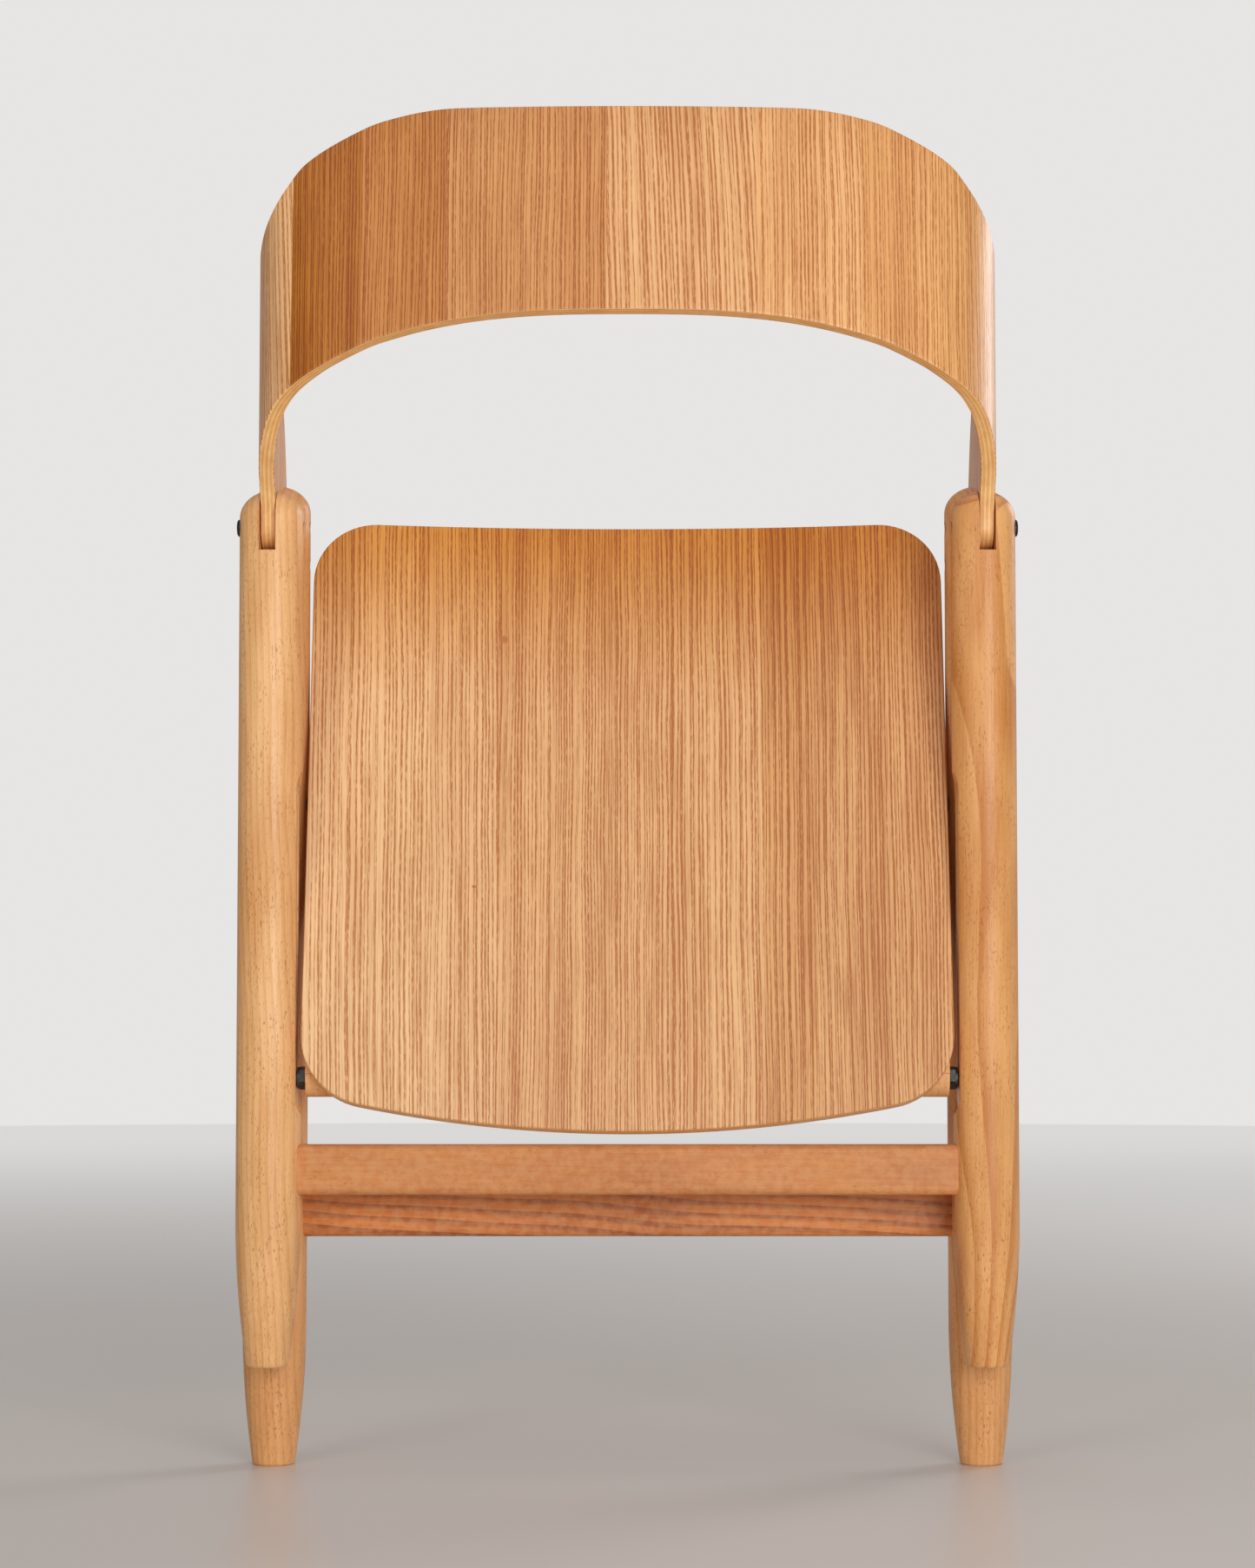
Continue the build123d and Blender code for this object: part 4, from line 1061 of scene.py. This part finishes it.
# %% Screw tree
def make_screw_tree():
    """Stand is the turn that points a screw along its hole."""
    tree, given, end = new_growth("cleat_screw", {
        "Head Radius": "Float", "Shank Radius": "Float", "Length": "Float", "Stand": "Vector",
        "Seed": "Int", "Finish": "Material",
    })
    head = put(tree, "GeometryNodeMeshCone", {
        "Vertices": 32, "Radius Top": given["Shank Radius"], "Radius Bottom": given["Head Radius"],
        "Depth": calc(tree, "SUBTRACT", given["Head Radius"], given["Shank Radius"]),
    }).outputs["Mesh"]
    shank = put(tree, "GeometryNodeMeshCylinder", {
        "Vertices": 32, "Radius": given["Shank Radius"], "Depth": given["Length"],
    }).outputs["Mesh"]
    lift = put(tree, "ShaderNodeCombineXYZ", {"Z": calc(tree, "MULTIPLY", given["Length"], 0.5)}).outputs[0]
    shank = put(tree, "GeometryNodeTransform", {"Geometry": shank, "Translation": lift}).outputs[0]
    solid = {"operation": "UNION", "solver": "EXACT"}
    body = put(tree, "GeometryNodeMeshBoolean", {"Self Intersection": True}, **solid)
    tree.links.new(head, body.inputs["Mesh 2"])
    tree.links.new(shank, body.inputs["Mesh 2"])
    bars = []
    for long_side in ((1.15, 0.22), (0.22, 1.15)):
        sizes = [calc(tree, "MULTIPLY", given["Head Radius"], share) for share in long_side]
        size = put(tree, "ShaderNodeCombineXYZ", {"X": sizes[0], "Y": sizes[1], "Z": given["Shank Radius"]})
        bars.append(put(tree, "GeometryNodeMeshCube", {"Size": size.outputs[0]}).outputs["Mesh"])
    cross = put(tree, "GeometryNodeMeshBoolean", {"Mesh 1": body.outputs[0], "Self Intersection": True},
                operation="DIFFERENCE", solver="EXACT")
    for bar in bars:
        tree.links.new(bar, cross.inputs["Mesh 2"])
    copies = put(tree, "GeometryNodeInstanceOnPoints", {
        "Points": given["Geometry"], "Instance": cross.outputs[0], "Rotation": given["Stand"],
    }).outputs[0]
    chance = put(tree, "FunctionNodeRandomValue", {"Seed": given["Seed"]}, data_type="FLOAT_VECTOR")
    chance.inputs[0].default_value = (0, 0, 0)
    chance.inputs[1].default_value = (0, 0, 2 * pi)
    turned = put(tree, "GeometryNodeRotateInstances", {
        "Instances": copies, "Rotation": chance.outputs[0], "Local Space": True,
    }).outputs[0]
    whole = put(tree, "GeometryNodeRealizeInstances", {"Geometry": turned}).outputs[0]
    done = put(tree, "GeometryNodeSetMaterial", {"Geometry": whole, "Material": given["Finish"]}).outputs[0]
    tree.links.new(done, end.inputs["Geometry"])
    return tree


SCREW_PLACES = (0.140, 0.045, -0.045, -0.150)
SCREW_X = 0.2105
CLEAT_UNDERSIDE = -0.013
screw_tree = make_screw_tree()
for number, (side_name, side) in enumerate((("left", -1), ("right", 1))):
    spots = [seat_pivot + Vector((
        side * SCREW_X,
        along * sin(seat_lean) - CLEAT_UNDERSIDE * cos(seat_lean),
        along * cos(seat_lean) + CLEAT_UNDERSIDE * sin(seat_lean),
    )) for along in SCREW_PLACES]
    screws = grow("screws_" + side_name, screw_tree, {
        "Head Radius": 0.004, "Shank Radius": 0.002, "Length": 0.0335,
        "Stand": (pi / 2 - seat_lean, 0, 0), "Seed": 5 + number, "Finish": zinc_steel,
    }, spots)
    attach(screws, "seat")
    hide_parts("cleat_screws_" + side_name)

# %% [markdown]
# ## Floor and light
# A pale polished floor catches a faint image of the feet, and brightens with distance until it meets
# the room. The light is a broad window behind the camera with a weaker one beside it, a lamp on the far
# side, a soft ceiling, and the glow of the room itself, which is dimmer from the sides.

# %% Floor
FLOOR_RADIUS = 6.0


def floor_disc():
    """A large pale disc with a soft polish."""
    mesh = bmesh.new()
    bmesh.ops.create_circle(mesh, cap_ends=True, segments=96, radius=FLOOR_RADIUS)
    data = bpy.data.meshes.new("floor")
    mesh.to_mesh(data)
    mesh.free()
    floor = show("floor", data)
    material, tree, surface = new_material("floor_pale")
    place = put(tree, "ShaderNodeTexCoord").outputs["Object"]
    cloud = put(tree, "ShaderNodeTexNoise", {"Vector": place, "Scale": 1.3, "Detail": 4.0}).outputs["Fac"]
    away = put(tree, "ShaderNodeVectorMath", {0: place}, operation="LENGTH").outputs["Value"]
    far = remap(tree, away, 0.5, 5.5)
    shade = blend(tree, cloud, colour(216, 207, 201), colour(223, 215, 209))
    tree.links.new(blend(tree, far, shade, colour(236, 235, 234)), surface.inputs["Base Color"])
    surface.inputs["Emission Color"].default_value = colour(238, 237, 236)
    tree.links.new(calc(tree, "MULTIPLY", far, 0.44), surface.inputs["Emission Strength"])
    surface.inputs["Roughness"].default_value = 0.36
    surface.inputs["Specular IOR Level"].default_value = 0.3
    data.materials.append(material)
    return floor


floor = floor_disc()
print("floor radius", FLOOR_RADIUS)


# %% Light
def window(name, place, target, size, power):
    """A square soft light that faces a target."""
    light = bpy.data.lights.new(name, "AREA")
    light.size = size
    light.energy = power
    lamp = bpy.data.objects.new(name, light)
    lamp.location = place
    lamp.rotation_euler = (Vector(target) - Vector(place)).to_track_quat("-Z", "Y").to_euler()
    bpy.context.scene.collection.objects.link(lamp)
    return lamp


chair_middle = (cad_box[0] + cad_box[1]) / 2
window("window_right", (1.0, -2.9, 0.8), chair_middle, 1.3, 44)
window("window_left", (-1.5, -2.6, 1.1), chair_middle, 0.9, 14)
window("window_front", (2.4, 2.0, 1.6), chair_middle, 1.2, 24)
window("ceiling", (0, 0, 3.0), chair_middle, 2.4, 10)


def room_glow(seen, lit):
    """A pale room: the camera sees one brightness, and the chair is lit by another."""
    world = bpy.data.worlds.new("room")
    bpy.context.scene.world = world
    world.use_nodes = True
    tree = world.node_tree
    ray = put(tree, "ShaderNodeLightPath").outputs["Is Camera Ray"]
    view = put(tree, "ShaderNodeTexCoord").outputs["Generated"]
    sideways = calc(tree, "ABSOLUTE", put(tree, "ShaderNodeSeparateXYZ", {"Vector": view}).outputs["X"])
    shaded = calc(tree, "MULTIPLY", remap(tree, sideways, 0.2, 0.95, 1.0, 0.25), lit)
    strength = calc(tree, "MULTIPLY_ADD", ray, calc(tree, "SUBTRACT", seen, shaded), shaded)
    background = tree.nodes["Background"]
    background.inputs["Color"].default_value = colour(238, 237, 236)
    tree.links.new(strength, background.inputs["Strength"])


room_glow(seen=0.93, lit=0.5)
